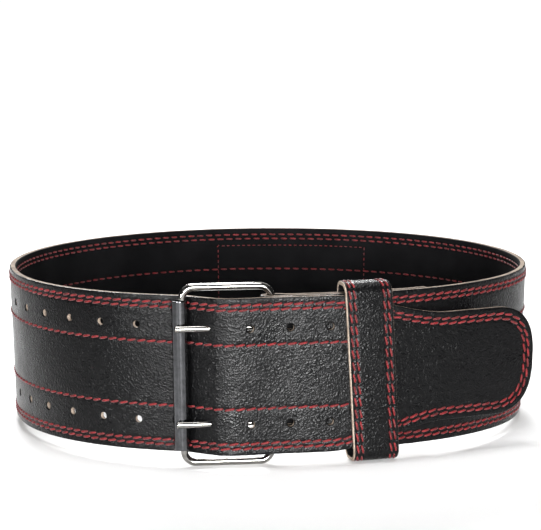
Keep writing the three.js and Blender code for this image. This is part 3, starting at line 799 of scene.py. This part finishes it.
def stitch_tubes(carry, centres, ahead, length, radius, slant, face, way):
    """Tubes on a face, one for each centre. Along a stitch, q goes from -1 to 1: its middle line
    stands proud of the face by a rise that falls off as q to the sixth, and its radius shrinks as q
    to the fourth. Gives points, quads, the faces that close the ends, and each quad's UV corners."""
    q = ALONG_STITCH
    angle = 2 * math.pi * np.arange(STITCH_SIDES) / STITCH_SIDES
    c, s = math.cos(slant), math.sin(slant)
    along = np.stack([c * ahead[:, 0] - s * ahead[:, 1], s * ahead[:, 0] + c * ahead[:, 1]], axis=1)
    side = np.stack([-along[:, 1], along[:, 0]], axis=1)
    thick = radius * (1 - THINNER_AT_ENDS * q**4)[None, :, None]
    sideways = thick * np.cos(angle)
    rise = radius * (PROUD - DIVE * q**6)[None, :, None] + FLATTENED * thick * np.sin(angle)
    spot = (centres[:, None, None, :] + (length / 2 * q)[None, :, None, None] * along[:, None, None, :]
            + sideways[..., None] * side[:, None, None, :])
    points = carry(spot[..., 0], spot[..., 1], np.broadcast_to(face + way * rise, spot.shape[:3]))
    number = np.arange(points[..., 0].size).reshape(points.shape[:3])
    wrapped = np.concatenate([number, number[:, :, :1]], axis=2)
    quads = np.stack([wrapped[:, :-1, :-1], wrapped[:, :-1, 1:], wrapped[:, 1:, 1:],
                      wrapped[:, 1:, :-1]], axis=-1)
    caps = np.concatenate([number[:, 0, ::-1], number[:, -1, :]])
    net = np.stack(np.meshgrid((q + 1) / 2 * THREAD_TURNS, np.arange(STITCH_SIDES + 1) / STITCH_SIDES,
                               indexing="ij"), axis=-1)
    uv = np.stack([net[:-1, :-1], net[:-1, 1:], net[1:, 1:], net[1:, :-1]], axis=2)
    uv = np.broadcast_to(uv[None], (len(centres), *uv.shape))
    return points.reshape(-1, 3), quads.reshape(-1, 4), caps, uv.reshape(-1, 4, 2)


def make_stitches(name, tubes):
    """One piece from several sets of tubes: the later sets' numbers go on from the earlier ones'."""
    points, quads, caps, uv = zip(*tubes)
    start = np.cumsum([0] + [len(part) for part in points])
    quads, caps = (np.concatenate([part + n for part, n in zip(parts, start)]) for parts in (quads, caps))
    return make_piece(name, np.concatenate(points), quads, [red_thread], caps=caps,
                      uv=np.concatenate(uv))


# %% Rows on the strap
STITCH_PITCH = 6.8
OUTSIDE_STITCH = dict(length=STITCH_PITCH, radius=0.8, slant=math.radians(11))
INSIDE_STITCH = dict(length=0.78 * STITCH_PITCH, radius=0.58, slant=math.radians(3))


def edge_row(inset):
    """Closed row at a distance inside the outline: the folded end, its corner, the long side, the
    tip, and the same again mirrored."""
    corner = FOLD_CORNER - inset
    turn = np.linspace(0, math.pi / 2, 20)
    lead = np.stack([FOLD_CORNER - corner * np.cos(turn),
                     HALF_STRAP - FOLD_CORNER + corner * np.sin(turn)], axis=1)
    s = np.arange(FOLD_CORNER + 1, strap_length - TIP_LENGTH, 1.0)
    side = np.stack([s, half_width(s, inset)], axis=1)
    power = 2 / TIP_FULLNESS
    tip = np.stack([strap_length - TIP_LENGTH + (TIP_LENGTH - inset) * np.sin(turn) ** power,
                    (HALF_TONGUE - inset) * np.maximum(np.cos(turn), 0) ** power], axis=1)
    half = np.concatenate([[[inset, 0.0]], lead, side, tip])
    return np.concatenate([half, half[-2:0:-1] * [1, -1]])


def single_row():
    """Open row: along one side, round a half circle on the tongue and back along the other side."""
    turn_at = strap_length - SINGLE_TURN_FROM_TIP - SINGLE_ROW
    long_side = np.arange(EDGE_ROWS[1] + 2, turn_at, 1.0)
    turn = np.linspace(math.pi / 2, -math.pi / 2, 40)
    bend = np.stack([turn_at + SINGLE_ROW * np.cos(turn), SINGLE_ROW * np.sin(turn)], axis=1)
    there = np.stack([long_side, np.full(len(long_side), SINGLE_ROW)], axis=1)
    return np.concatenate([there, bend, there[::-1] * [1, -1]])


# %% Stitches outside and inside
# The stitches outside leave out the part of the single row that the patch covers.
rows = [spread(edge_row(inset), STITCH_PITCH) for inset in EDGE_ROWS]
single = spread(single_row(), STITCH_PITCH, closed=False)
along_waist = single[0][:, 0] - stretch_end["opening"] + FOLD_OPENS_AT
under_patch = np.abs(along_waist - PATCH_AT) < PATCH_LENGTH / 2 + 1
bare = [part[~under_patch] for part in single]
face = HALF_THICK - 0.8 * ROW_DEPTH
outside = [stitch_tubes(on_strap, *row, face=face, way=1, **OUTSIDE_STITCH) for row in [*rows, bare]]
inside = [stitch_tubes(on_strap, *row, face=-face, way=-1, **INSIDE_STITCH) for row in [*rows, single]]
make_stitches("strap_stitches_outside", outside)

# %% [markdown]
# ## The patch
# A rectangle of black woven cloth is sewn on the outside of the back. It is bare, with a thin red
# border row. A cloth simulation could drape it, but it is sewn flat all round, so its flat size bent
# round the waist is its true shape. It is a slab like the strap, thinner towards its border, and the
# same border row shows on the inside of the belt.

# %% Woven cloth
WEAVE_PITCH = 1.1


def woven_cloth(name):
    """Plain weave on the piece's UV map, which is in millimetres: the product of two sine waves, one
    for each set of threads, lifts every other crossing. The colour follows the same weave as painted
    shade: darker in the hollows, lighter on the lifted crossings."""
    finish = Finish(name, (0.004, 0.004, 0.0045), roughness=0.8, specular=0.12)
    finish.set("Sheen Weight", 0.08)
    finish.set("Sheen Roughness", 0.5)
    split = finish.add("ShaderNodeSeparateXYZ", None, Vector=finish.place("UV"))
    waves = [finish.math("SINE", finish.math("MULTIPLY", split.outputs[axis], 2 * math.pi / WEAVE_PITCH))
             for axis in "XY"]
    weave = finish.math("MULTIPLY", *waves)
    finish.set("Normal", finish.bump(weave, strength=0.5, distance=0.00012))
    # Painted shade: the weave's hollows are darker and its lifted crossings lighter.
    shades = (0.002, 0.002, 0.0025), (0.008, 0.008, 0.009)
    finish.set("Base Color", finish.ramp(weave, *shades, start=-1, end=1))
    return finish.material


patch_finish = woven_cloth("black_woven_cloth")

# %% The patch's shape
PATCH_RIM, PATCH_ROW = 0.35, 3.2
PATCH_ROW_DEPTH, PATCH_ROW_WIDTH, PATCH_THINNER = 0.12, 0.8, 0.14
patch_low = HALF_THICK + LAYER_GAP
patch_middle = patch_low + PATCH_THICKNESS / 2
half_patch = PATCH_LENGTH / 2


def on_patch(s, z, up):
    """Patch lengths run along the waist from the patch's middle, and up is away from the waist."""
    plan = on_waist(PATCH_AT + np.asarray(s), up)
    return np.concatenate([plan, np.asarray(z)[..., None]], axis=-1)


def flat_patch(s, z, up):
    """The patch laid flat: the same three numbers, as a point."""
    return np.stack(np.broadcast_arrays(s, z, up), axis=-1)


def patch_half_height(s):
    """Half the patch's height at the length s: straight, with a quarter circle at each corner."""
    short = np.clip(np.abs(s) - (half_patch - PATCH_CORNER), 0, PATCH_CORNER - PATCH_RIM)
    corner = np.sqrt((PATCH_CORNER - PATCH_RIM) ** 2 - short**2)
    return PATCH_HEIGHT / 2 - PATCH_CORNER + corner


def patch_sink(s, z):
    """The cloth is pulled down by a bell curve along its border row, and thins out to its edge."""
    edge = np.minimum(half_patch - np.abs(s), PATCH_HEIGHT / 2 - np.abs(z))
    row = np.exp(-(((edge - PATCH_ROW) / PATCH_ROW_WIDTH) ** 2))
    return PATCH_ROW_DEPTH * row + PATCH_THINNER * np.exp(-edge / 2)


# %% The patch itself
STRAIGHT_FROM, PATCH_STEP, PATCH_MIDDLE_LINES = 3.6, 1.7, 34
end_steps = PATCH_CORNER - (PATCH_CORNER - PATCH_RIM) * np.cos(np.linspace(0, math.pi / 2, 7)[:-1])
side_steps = np.concatenate([end_steps, np.arange(STRAIGHT_FROM, half_patch, PATCH_STEP)])
patch_s = np.concatenate([side_steps - half_patch, (half_patch - side_steps)[::-1]])
near_edge = np.array([0, 0.02, 0.045, 0.06, 0.077, 0.095, 0.115])
share = np.concatenate([near_edge, np.linspace(0.15, 0.85, PATCH_MIDDLE_LINES),
                        1 - near_edge[::-1]])
patch_z = (2 * share - 1)[None, :] * patch_half_height(patch_s)[:, None]
patch_net = np.broadcast_to(patch_s[:, None], patch_z.shape)
(points, quads, _), (flat_points, _, _) = (
    slab(carry, patch_net, patch_z, PATCH_THICKNESS / 2, PATCH_RIM, patch_sink, middle=patch_middle)
    for carry in (on_patch, flat_patch))
patch = make_piece("patch_cloth", points, quads, [patch_finish], ["patch"],
                   uv=flat_points[quads][:, :, :2])

# %% The patch's border row, and the stitches inside
PATCH_PITCH = 3.9
PATCH_STITCH = dict(length=3.1, radius=0.32, slant=math.radians(4))
PATCH_STITCH_INSIDE = dict(length=2.4, radius=0.32, slant=0.0)
PATCH_STITCH_SUNK = 0.15
corners = np.array([[-1, -1], [1, -1], [1, 1], [-1, 1]]) * [half_patch - PATCH_ROW,
                                                            PATCH_HEIGHT / 2 - PATCH_ROW]
border = [straight(start, end, 1) for start, end in zip(corners, np.roll(corners, -1, axis=0))]
border_row = spread(np.concatenate(border), PATCH_PITCH)
patch_face = patch_low + PATCH_THICKNESS - PATCH_STITCH_SUNK
patch_stitches = make_stitches("patch_stitches", [
    stitch_tubes(on_patch, *border_row, face=patch_face, way=1, **PATCH_STITCH)])
inside.append(stitch_tubes(on_patch, *border_row, face=-HALF_THICK, way=-1, **PATCH_STITCH_INSIDE))
make_stitches("strap_stitches_inside", inside)

# %% [markdown]
# ## The keeper
# A loop of thinner leather holds the tongue down. It could be a curve with a bevel, but the rows of
# stitches need to know their place on it. So its section, a flat band with rounded edges, is carried
# round a rectangle with round corners, and a second function puts the stitches on the same loop. Two
# rows run along each edge.

# %% Round the keeper
keeper_low = fold_line - HALF_THICK - KEEPER_GAP
keeper_high = tongue_line + HALF_THICK + KEEPER_GAP
keeper_round = KEEPER_PAST_STRAP - KEEPER_THICKNESS
half_keeper = KEEPER_WIDTH / 2


def keeper_loop(corner_steps=14, side_steps=26, end_steps=5):
    """Points of the corners' middle line with the direction out of the leather there: a straight run
    between two corners keeps one direction, and a corner turns it through a quarter turn."""
    centre_out = (keeper_high - keeper_low) / 2 - keeper_round
    middle = (keeper_high + keeper_low) / 2
    spots, ways = [], []
    corners = [(1, 1, 90), (1, -1, 0), (-1, -1, -90), (-1, 1, -180)]
    for k, (side, end, start) in enumerate(corners):
        angle = np.radians(np.linspace(start, start - 90, corner_steps))
        here = np.array([middle + side * centre_out, end * HALF_STRAP])
        way = np.stack([np.cos(angle), np.sin(angle)], axis=1)
        side_next, end_next, _ = corners[(k + 1) % 4]
        there = np.array([middle + side_next * centre_out, end_next * HALF_STRAP])
        count = side_steps if side == side_next else end_steps
        share = np.linspace(0, 1, count + 1)[1:-1, None]
        spots += [np.repeat(here[None], corner_steps, axis=0), (1 - share) * here + share * there]
        ways += [way, np.repeat(way[-1:], count - 1, axis=0)]
    return np.concatenate(spots), np.concatenate(ways)


loop_spots, loop_ways = keeper_loop()
loop_face = loop_spots + (keeper_round + KEEPER_THICKNESS) * loop_ways
loop_gone = lengths_of(loop_face, closed=True)
loop_table = np.hstack([loop_face, loop_ways])
loop_table = np.concatenate([loop_table, loop_table[:1]])
print("round the keeper:", round(loop_gone[-1], 1), "mm")


def on_keeper(u, across, rise):
    """u is the length gone round the keeper's outer face, across the place across its width, rise the
    height over that face. The keeper leans, so its place along the waist falls with height."""
    read = read_table(np.mod(u, loop_gone[-1]), loop_gone, loop_table)
    spot = read[..., :2] + np.asarray(rise)[..., None] * unit(read[..., 2:])
    plan = on_waist(KEEPER_AT + across - spot[..., 1] * math.tan(KEEPER_LEAN), spot[..., 0])
    return np.concatenate([plan, spot[..., 1:]], axis=-1)


# %% The keeper's section
KEEPER_ROWS, KEEPER_ROW_DEPTH, KEEPER_ROW_WIDTH = (2.7, 5.6), 0.25, 0.8
KEEPER_RIM = 0.7


def keeper_section():
    """The band's section as (across, rise) points: the outer face from edge to edge, pressed in along
    the rows, the rounded edges and the inner face. Also gives each side's part: 0 grain side, 1 cut
    edge, 2 flesh side."""
    edge = half_keeper - KEEPER_RIM
    top = np.concatenate([np.linspace(-edge, -5, 17), np.linspace(-4, 4, 5), np.linspace(5, edge, 17)])
    to_edge = half_keeper - np.abs(top)
    press = sum(np.exp(-(((to_edge - row) / KEEPER_ROW_WIDTH) ** 2)) for row in KEEPER_ROWS)
    outer = np.stack([top, -KEEPER_ROW_DEPTH * press], axis=1)
    turn = np.radians(np.linspace(90, -90, 9))[1:-1]
    centre = np.where(turn > 0, -KEEPER_RIM, KEEPER_RIM - KEEPER_THICKNESS)
    rim = np.stack([edge + KEEPER_RIM * np.cos(turn), centre + KEEPER_RIM * np.sin(turn)], axis=1)
    inner = np.stack([np.linspace(edge, -edge, 9), np.full(9, -KEEPER_THICKNESS)], axis=1)
    section = np.concatenate([outer, rim, inner, rim[::-1] * [-1, 1]])
    return section, np.repeat([0, 1, 2, 1], [len(outer) + 1, len(rim) - 1, len(inner) + 1, len(rim) - 1])


# %% The keeper and its rows
KEEPER_PITCH = 7.7
KEEPER_STITCH = dict(length=6.6, radius=0.68, slant=math.radians(11))
KEEPER_STITCH_SUNK = 0.2
section, kinds = keeper_section()
u_net, a_net = np.meshgrid(loop_gone[:-1], section[:, 0], indexing="ij")
points = on_keeper(u_net, a_net, np.broadcast_to(section[None, :, 1], u_net.shape))
number = np.arange(u_net.size).reshape(u_net.shape)
ahead, beside = np.roll(number, -1, axis=0), np.roll(number, -1, axis=1)
both = np.roll(ahead, -1, axis=1)
quads = np.stack([number, ahead, both, beside], axis=-1).reshape(-1, 4)
worn = np.broadcast_to(kinds, number.shape).ravel()
make_piece("keeper_leather", points, quads, leathers, ["keeper"], worn=worn)

keeper_tubes = []
for row in KEEPER_ROWS:
    for side in (-1, 1):
        line = np.stack([loop_gone, np.full(len(loop_gone), side * (half_keeper - row))], axis=1)
        keeper_tubes.append(stitch_tubes(on_keeper, *spread(line, KEEPER_PITCH, closed=False),
                                         face=-KEEPER_STITCH_SUNK, way=1, **KEEPER_STITCH))
make_stitches("keeper_stitches", keeper_tubes)

# %% [markdown]
# ## The metal
# The frame is one bent wire and each prong a wire with an eye, both of polished nickel, as the rivets
# are. The roller is a tube of polished steel. Blender's curves with a bevel could draw wires. A ring of
# points carried along a path that lies in a plane gives the same, and lets the prongs grow thicker to
# their tips. The colours of both metals, the steel most, are painted darker than the real ones: a painted
# reflection of the darker room the real metal mirrors, as the floor here is white all round.


# %% Polished metals
def polished_metal(name, dark, light):
    """A bright metal with faint rubbing marks: noise between a dark and a light tone, and slow clouds
    of gloss."""
    finish = Finish(name, light, roughness=0.12, metallic=1.0)
    where = finish.place()
    marks = finish.noise(where, scale=320.0, detail=4.0, rough=0.6)
    clouds = finish.noise(where, scale=70.0)
    finish.set("Normal", finish.bump(marks, strength=0.08, distance=0.0002))
    finish.set("Roughness", finish.ramp(clouds, 0.04, 0.14, start=0.3, end=0.75))
    finish.set("Base Color", finish.ramp(marks, dark, light, start=0.3, end=0.7))
    return finish.material


# Both tones are painted dark: a painted reflection of a darker room than this white floor.
nickel = polished_metal("polished_nickel", (0.2, 0.194, 0.183), (0.32, 0.31, 0.293))
steel = polished_metal("polished_steel", (0.07, 0.071, 0.075), (0.13, 0.132, 0.138))
print("metals:", nickel.name, steel.name)


# %% Tubes along a path
def tube(path, normal, beside, over, sides=28, closed=False):
    """Rings round a path in a plane: each ring's points are the path's point plus beside times the
    cosine in the plane plus over times the sine along the plane's normal."""
    before = np.roll(path, 1, axis=0) if closed else np.vstack([path[:1], path[:-1]])
    after = np.roll(path, -1, axis=0) if closed else np.vstack([path[1:], path[-1:]])
    side = unit(np.cross(normal, after - before))
    angle = 2 * math.pi * np.arange(sides) / sides
    points = (path[:, None] + (np.reshape(beside, (-1, 1)) * np.cos(angle))[..., None] * side[:, None]
              + (np.reshape(over, (-1, 1)) * np.sin(angle))[..., None] * np.asarray(normal))
    number = np.arange(len(path) * sides).reshape(len(path), sides)
    caps = [] if closed else [number[0], number[-1][::-1]]
    return points.reshape(-1, 3), ring_quads(number, closed), caps


def ring_quads(number, closed=False):
    """Quads between each ring of numbers and the next, and from the last to the first if closed."""
    rings = np.vstack([number, number[:1]]) if closed else number
    return np.concatenate([strips(a, b) for a, b in zip(rings[:-1], rings[1:])])


def bent_wire(corners, radius, count=14):
    """Closed path: each corner is a quarter circle inside the rectangle, straight between them."""
    rows = []
    for (across, height), start in corners:
        angle = np.radians(start - 90 * np.linspace(0, 1, count))
        rows.append(np.stack([across + radius * np.cos(angle), height + radius * np.sin(angle)], axis=1))
    return np.concatenate(rows)


# %% The frame
frame_length = bar_to_roller - ROLLER_PLAY + METAL_GAP
top = HALF_STRAP + BUCKLE_PAST_STRAP - WIRE_RADIUS - BUCKLE_CORNER
near, far = BUCKLE_CORNER, frame_length - BUCKLE_CORNER
frame_corners = [((near, -top), -90), ((near, top), 180), ((far, top), 90), ((far, -top), 0)]
flat_path = bent_wire(frame_corners, BUCKLE_CORNER)
wire_path = np.hstack([bar_point + flat_path[:, :1] * reach, flat_path[:, 1:]])
points, quads, caps = tube(wire_path, np.append(plane_out, 0.0), [WIRE_RADIUS], [WIRE_RADIUS], closed=True)
make_piece("buckle_wire", points, quads, [nickel], ["buckle_frame"])


# %% The roller
def turned(profile, sides):
    """(radius, height) points turned round the Z axis, as rings of points and of numbers. Where the
    radius is zero, the ring is a point drawn very small."""
    angle = 2 * math.pi * np.arange(sides) / sides
    radius, height = np.maximum(profile[:, 0], 0.02), profile[:, 1]
    points = np.stack([radius[:, None] * np.cos(angle), radius[:, None] * np.sin(angle),
                       np.broadcast_to(height[:, None], (len(profile), sides))], axis=-1)
    return points, np.arange(len(profile) * sides).reshape(len(profile), sides)


ROLLER_END, ROLLER_RINGS = 0.9, 30
half_roller = HALF_STRAP - ROLLER_SHORT
lip_radius = ROLLER_WALL / 2
lip = arc((ROLLER_RADIUS - lip_radius, half_roller - lip_radius), lip_radius, 0, math.pi, 9)
heights = np.linspace(ROLLER_END - half_roller, half_roller - ROLLER_END, ROLLER_RINGS)
outer, bore = (np.stack([np.full(ROLLER_RINGS, radius), heights], axis=1)
               for radius in (ROLLER_RADIUS, ROLLER_RADIUS - ROLLER_WALL))
ring_points, number = turned(np.concatenate([outer, lip, bore[::-1], (lip * [1, -1])[::-1]]), 40)
points = ring_points.reshape(-1, 3) + np.append(roller_point, 0.0)
make_piece("roller_tube", points, ring_quads(number, closed=True), [steel], ["roller"])

# %% The rivets
RIVET_SEATED, RIVET_CHAMFER, RIVET_EDGE = 0.2, 0.15, 0.45
RIVET_DOME = RIVET_HEAD_HEIGHT - METAL_GAP - 0.25


def rivet_profile():
    """Half section of a rivet: a low dome, a thin rim, the post, and the same again mirrored."""
    seat = HALF_THICK + METAL_GAP - RIVET_SEATED
    turn = np.linspace(0, math.pi / 2, 12)
    dome = np.stack([RIVET_HEAD_RADIUS * np.cos(turn), RIVET_EDGE + RIVET_DOME * np.sin(turn)], axis=1)
    rim = [[RIVET_HEAD_RADIUS - RIVET_CHAMFER, 0.0], [RIVET_HEAD_RADIUS, RIVET_CHAMFER]]
    half = np.concatenate([[[RIVET_POST_RADIUS, 0.0]], rim, dome])
    return np.concatenate([(half * [1, -1] + [0, fold_line - seat])[::-1], half + [0, seat]])


local, number = turned(rivet_profile(), 32)
for column, along in RIVET_PLACES.items():
    foot = on_waist(along, 0)
    out = np.append(on_waist(along, 1) - foot, 0.0)
    side = np.array([-out[1], out[0], 0.0])
    for row, height in RIVET_HEIGHTS.items():
        points = (np.append(foot, height) + local[..., :1] * side + local[..., 1:2] * [0, 0, 1]
                  + local[..., 2:] * out)
        make_piece(f"rivet_cap_{column}_{row}", points, ring_quads(number), [nickel],
                   [f"rivet_{column}_{row}"], caps=[number[0], number[-1][::-1]])

# %% The prongs
EYE_TURN, SHANK_FROM = 285, 3
PRONG_WIRE, PRONG_WIDER, PRONG_TALLER = 1.75, 0.15, 0.45
TIP_STARTS, TIP_BACK = 1.2, np.array([0.7, 0.35, 0.12, 0.0])
TIP_SHARES = np.array([0.97, 0.9, 0.78, 0.62])


def prong_path():
    """Eye round the heel bar, then the shank over the roller, with a short squared tip. Also gives
    the share of the shank's length at each of its points."""
    turn = np.radians(np.linspace(-EYE_TURN, 0, 44))[:, None]
    eye = bar_point + eye_radius * (np.cos(turn) * shank_out + np.sin(turn) * shank_ahead)
    length = bar_to_roller + PRONG_PAST_ROLLER
    shank = np.concatenate([np.linspace(SHANK_FROM, length - TIP_STARTS, 24), length - TIP_BACK])
    return np.concatenate([eye, shank_start + shank[:, None] * shank_ahead]), len(eye), shank / length


plan, eye_points, share = prong_path()
share = np.concatenate([np.zeros(eye_points), share])
beside, over = PRONG_WIRE + PRONG_WIDER * share, PRONG_WIRE + PRONG_TALLER * share
beside[-4:] *= TIP_SHARES
over[-4:] *= TIP_SHARES
for name, height in (("prong_upper", HOLE_HEIGHT), ("prong_lower", -HOLE_HEIGHT)):
    path = np.hstack([plan, np.full((len(plan), 1), float(height))])
    points, quads, caps = tube(path, np.array([0.0, 0.0, 1.0]), beside, over, sides=24)
    make_piece(name + "_wire", points, quads, [nickel], [name], caps=caps)

# %% [markdown]
# ## Floor, light and camera
# The belt stands on a white studio floor. Black leather mirrors whatever stands round it, so a room
# lit evenly would turn it grey. So the wide lamps light the floor away from the belt: one behind it,
# one far behind and one far in front. A lamp overhead, with a narrow spread, lights the loop and the
# floor just behind it. The grain sparkles in two small low lamps in front, and in one behind for views
# of the back. The view transform is the plain one, which leaves white white and the thread a full red.

# %% Floor
FLOOR_REACH = 9.0
floor_mesh = bpy.data.meshes.new("studio_floor")
floor_corners = [(x * FLOOR_REACH, y * FLOOR_REACH, 0) for x, y in ((-1, -1), (1, -1), (1, 1), (-1, 1))]
floor_mesh.from_pydata(floor_corners, [], [(0, 1, 2, 3)])
floor = bpy.data.objects.new("studio_floor", floor_mesh)
bpy.context.scene.collection.objects.link(floor)
pale = Finish("pale_floor", (0.82, 0.82, 0.82), roughness=0.75, specular=0.2)
pale.set("Base Color", pale.ramp(pale.noise(pale.place(), scale=3.0), (0.8, 0.8, 0.8), (0.84, 0.84, 0.84)))
floor_mesh.materials.append(pale.material)


# %% Lights
def soft_light(name, place, aim, size, power, spread=180):
    """A rectangular area light that looks at a point: its size is its width and height in metres, its
    power is in watts, and its light is kept within the spread in degrees."""
    light = bpy.data.lights.new(name, "AREA")
    light.shape = "RECTANGLE"
    light.size, light.size_y = size
    light.energy = power
    light.spread = math.radians(spread)
    lamp = bpy.data.objects.new(name, light)
    lamp.location = place
    lamp.rotation_euler = (Vector(aim) - Vector(place)).to_track_quat("-Z", "Y").to_euler()
    bpy.context.scene.collection.objects.link(lamp)
    print(name, power, "W from", place)


belt_middle = (0.0, 0.0, 0.05)
soft_light("overhead", place=(0.0, 0.45, 1.3), aim=(0.0, 0.45, 0.0), size=(0.7, 1.5), power=2.9, spread=34)
soft_light("behind", place=(0.0, 2.3, 2.0), aim=(0.0, 2.5, 0.0), size=(5.0, 3.2), power=70, spread=120)
soft_light("far_behind", place=(0.0, 6.5, 3.0), aim=(0.0, 6.5, 0.0), size=(8.0, 3.0), power=150)
soft_light("left_box", place=(-1.05, -1.69, 0.26), aim=belt_middle, size=(0.3, 0.3), power=3.8, spread=70)
soft_light("front_box", place=(0.28, -1.98, 0.3), aim=belt_middle, size=(0.7, 0.35), power=11.5, spread=70)
soft_light("far_front", place=(0.0, -5.5, 3.0), aim=(0.0, -5.5, 0.0), size=(8.0, 3.0), power=150)
soft_light("back_box", place=(-0.3, 1.75, 1.1), aim=belt_middle, size=(0.7, 0.35), power=7, spread=70)

# %% World and view
world = bpy.data.worlds.new("studio")
bpy.context.scene.world = world
world.use_nodes = True
world.node_tree.nodes["Background"].inputs["Color"].default_value = (1, 1, 1, 1)
world.node_tree.nodes["Background"].inputs["Strength"].default_value = 0.05
bpy.context.scene.view_settings.view_transform = "Standard"

# %% Camera
IMAGE_WIDTH, FOCAL_PIXELS = 541, 3021
CAMERA_PITCH, CAMERA_ROLL, CAMERA_YAW = 0.1445, -0.0045, 3.15 / FOCAL_PIXELS
CAMERA_PLACE = np.array([0.0, -2060.0, 348.0])
SENSOR_WIDTH = 36


def camera_axes():
    """Right, up and forward in belt axes: pitched down, rolled, and yawed a little to the right."""
    right = np.array([1.0, 0.0, 0.0])
    forward = np.array([0.0, math.cos(CAMERA_PITCH), -math.sin(CAMERA_PITCH)])
    up = np.array([0.0, math.sin(CAMERA_PITCH), math.cos(CAMERA_PITCH)])
    c, s = math.cos(CAMERA_ROLL), math.sin(CAMERA_ROLL)
    right, up = c * right + s * up, c * up - s * right
    c, s = math.cos(CAMERA_YAW), math.sin(CAMERA_YAW)
    return c * right - s * forward, up, c * forward + s * right


camera = bpy.data.cameras.new("camera")
camera.sensor_width = SENSOR_WIDTH
camera.lens = SENSOR_WIDTH * FOCAL_PIXELS / IMAGE_WIDTH
camera.clip_end = 30
view = bpy.data.objects.new("camera", camera)
right, up, forward = (leaned(axis) for axis in camera_axes())
turn = Matrix(np.stack([right, up, -forward], axis=1).tolist())
spot = (leaned(CAMERA_PLACE) + stand) / 1000
view.matrix_world = Matrix.Translation(Vector(spot.tolist())) @ turn.to_4x4()
bpy.context.scene.collection.objects.link(view)
bpy.context.scene.camera = view
print("camera at", spot.round(3), "lens", round(camera.lens, 1))
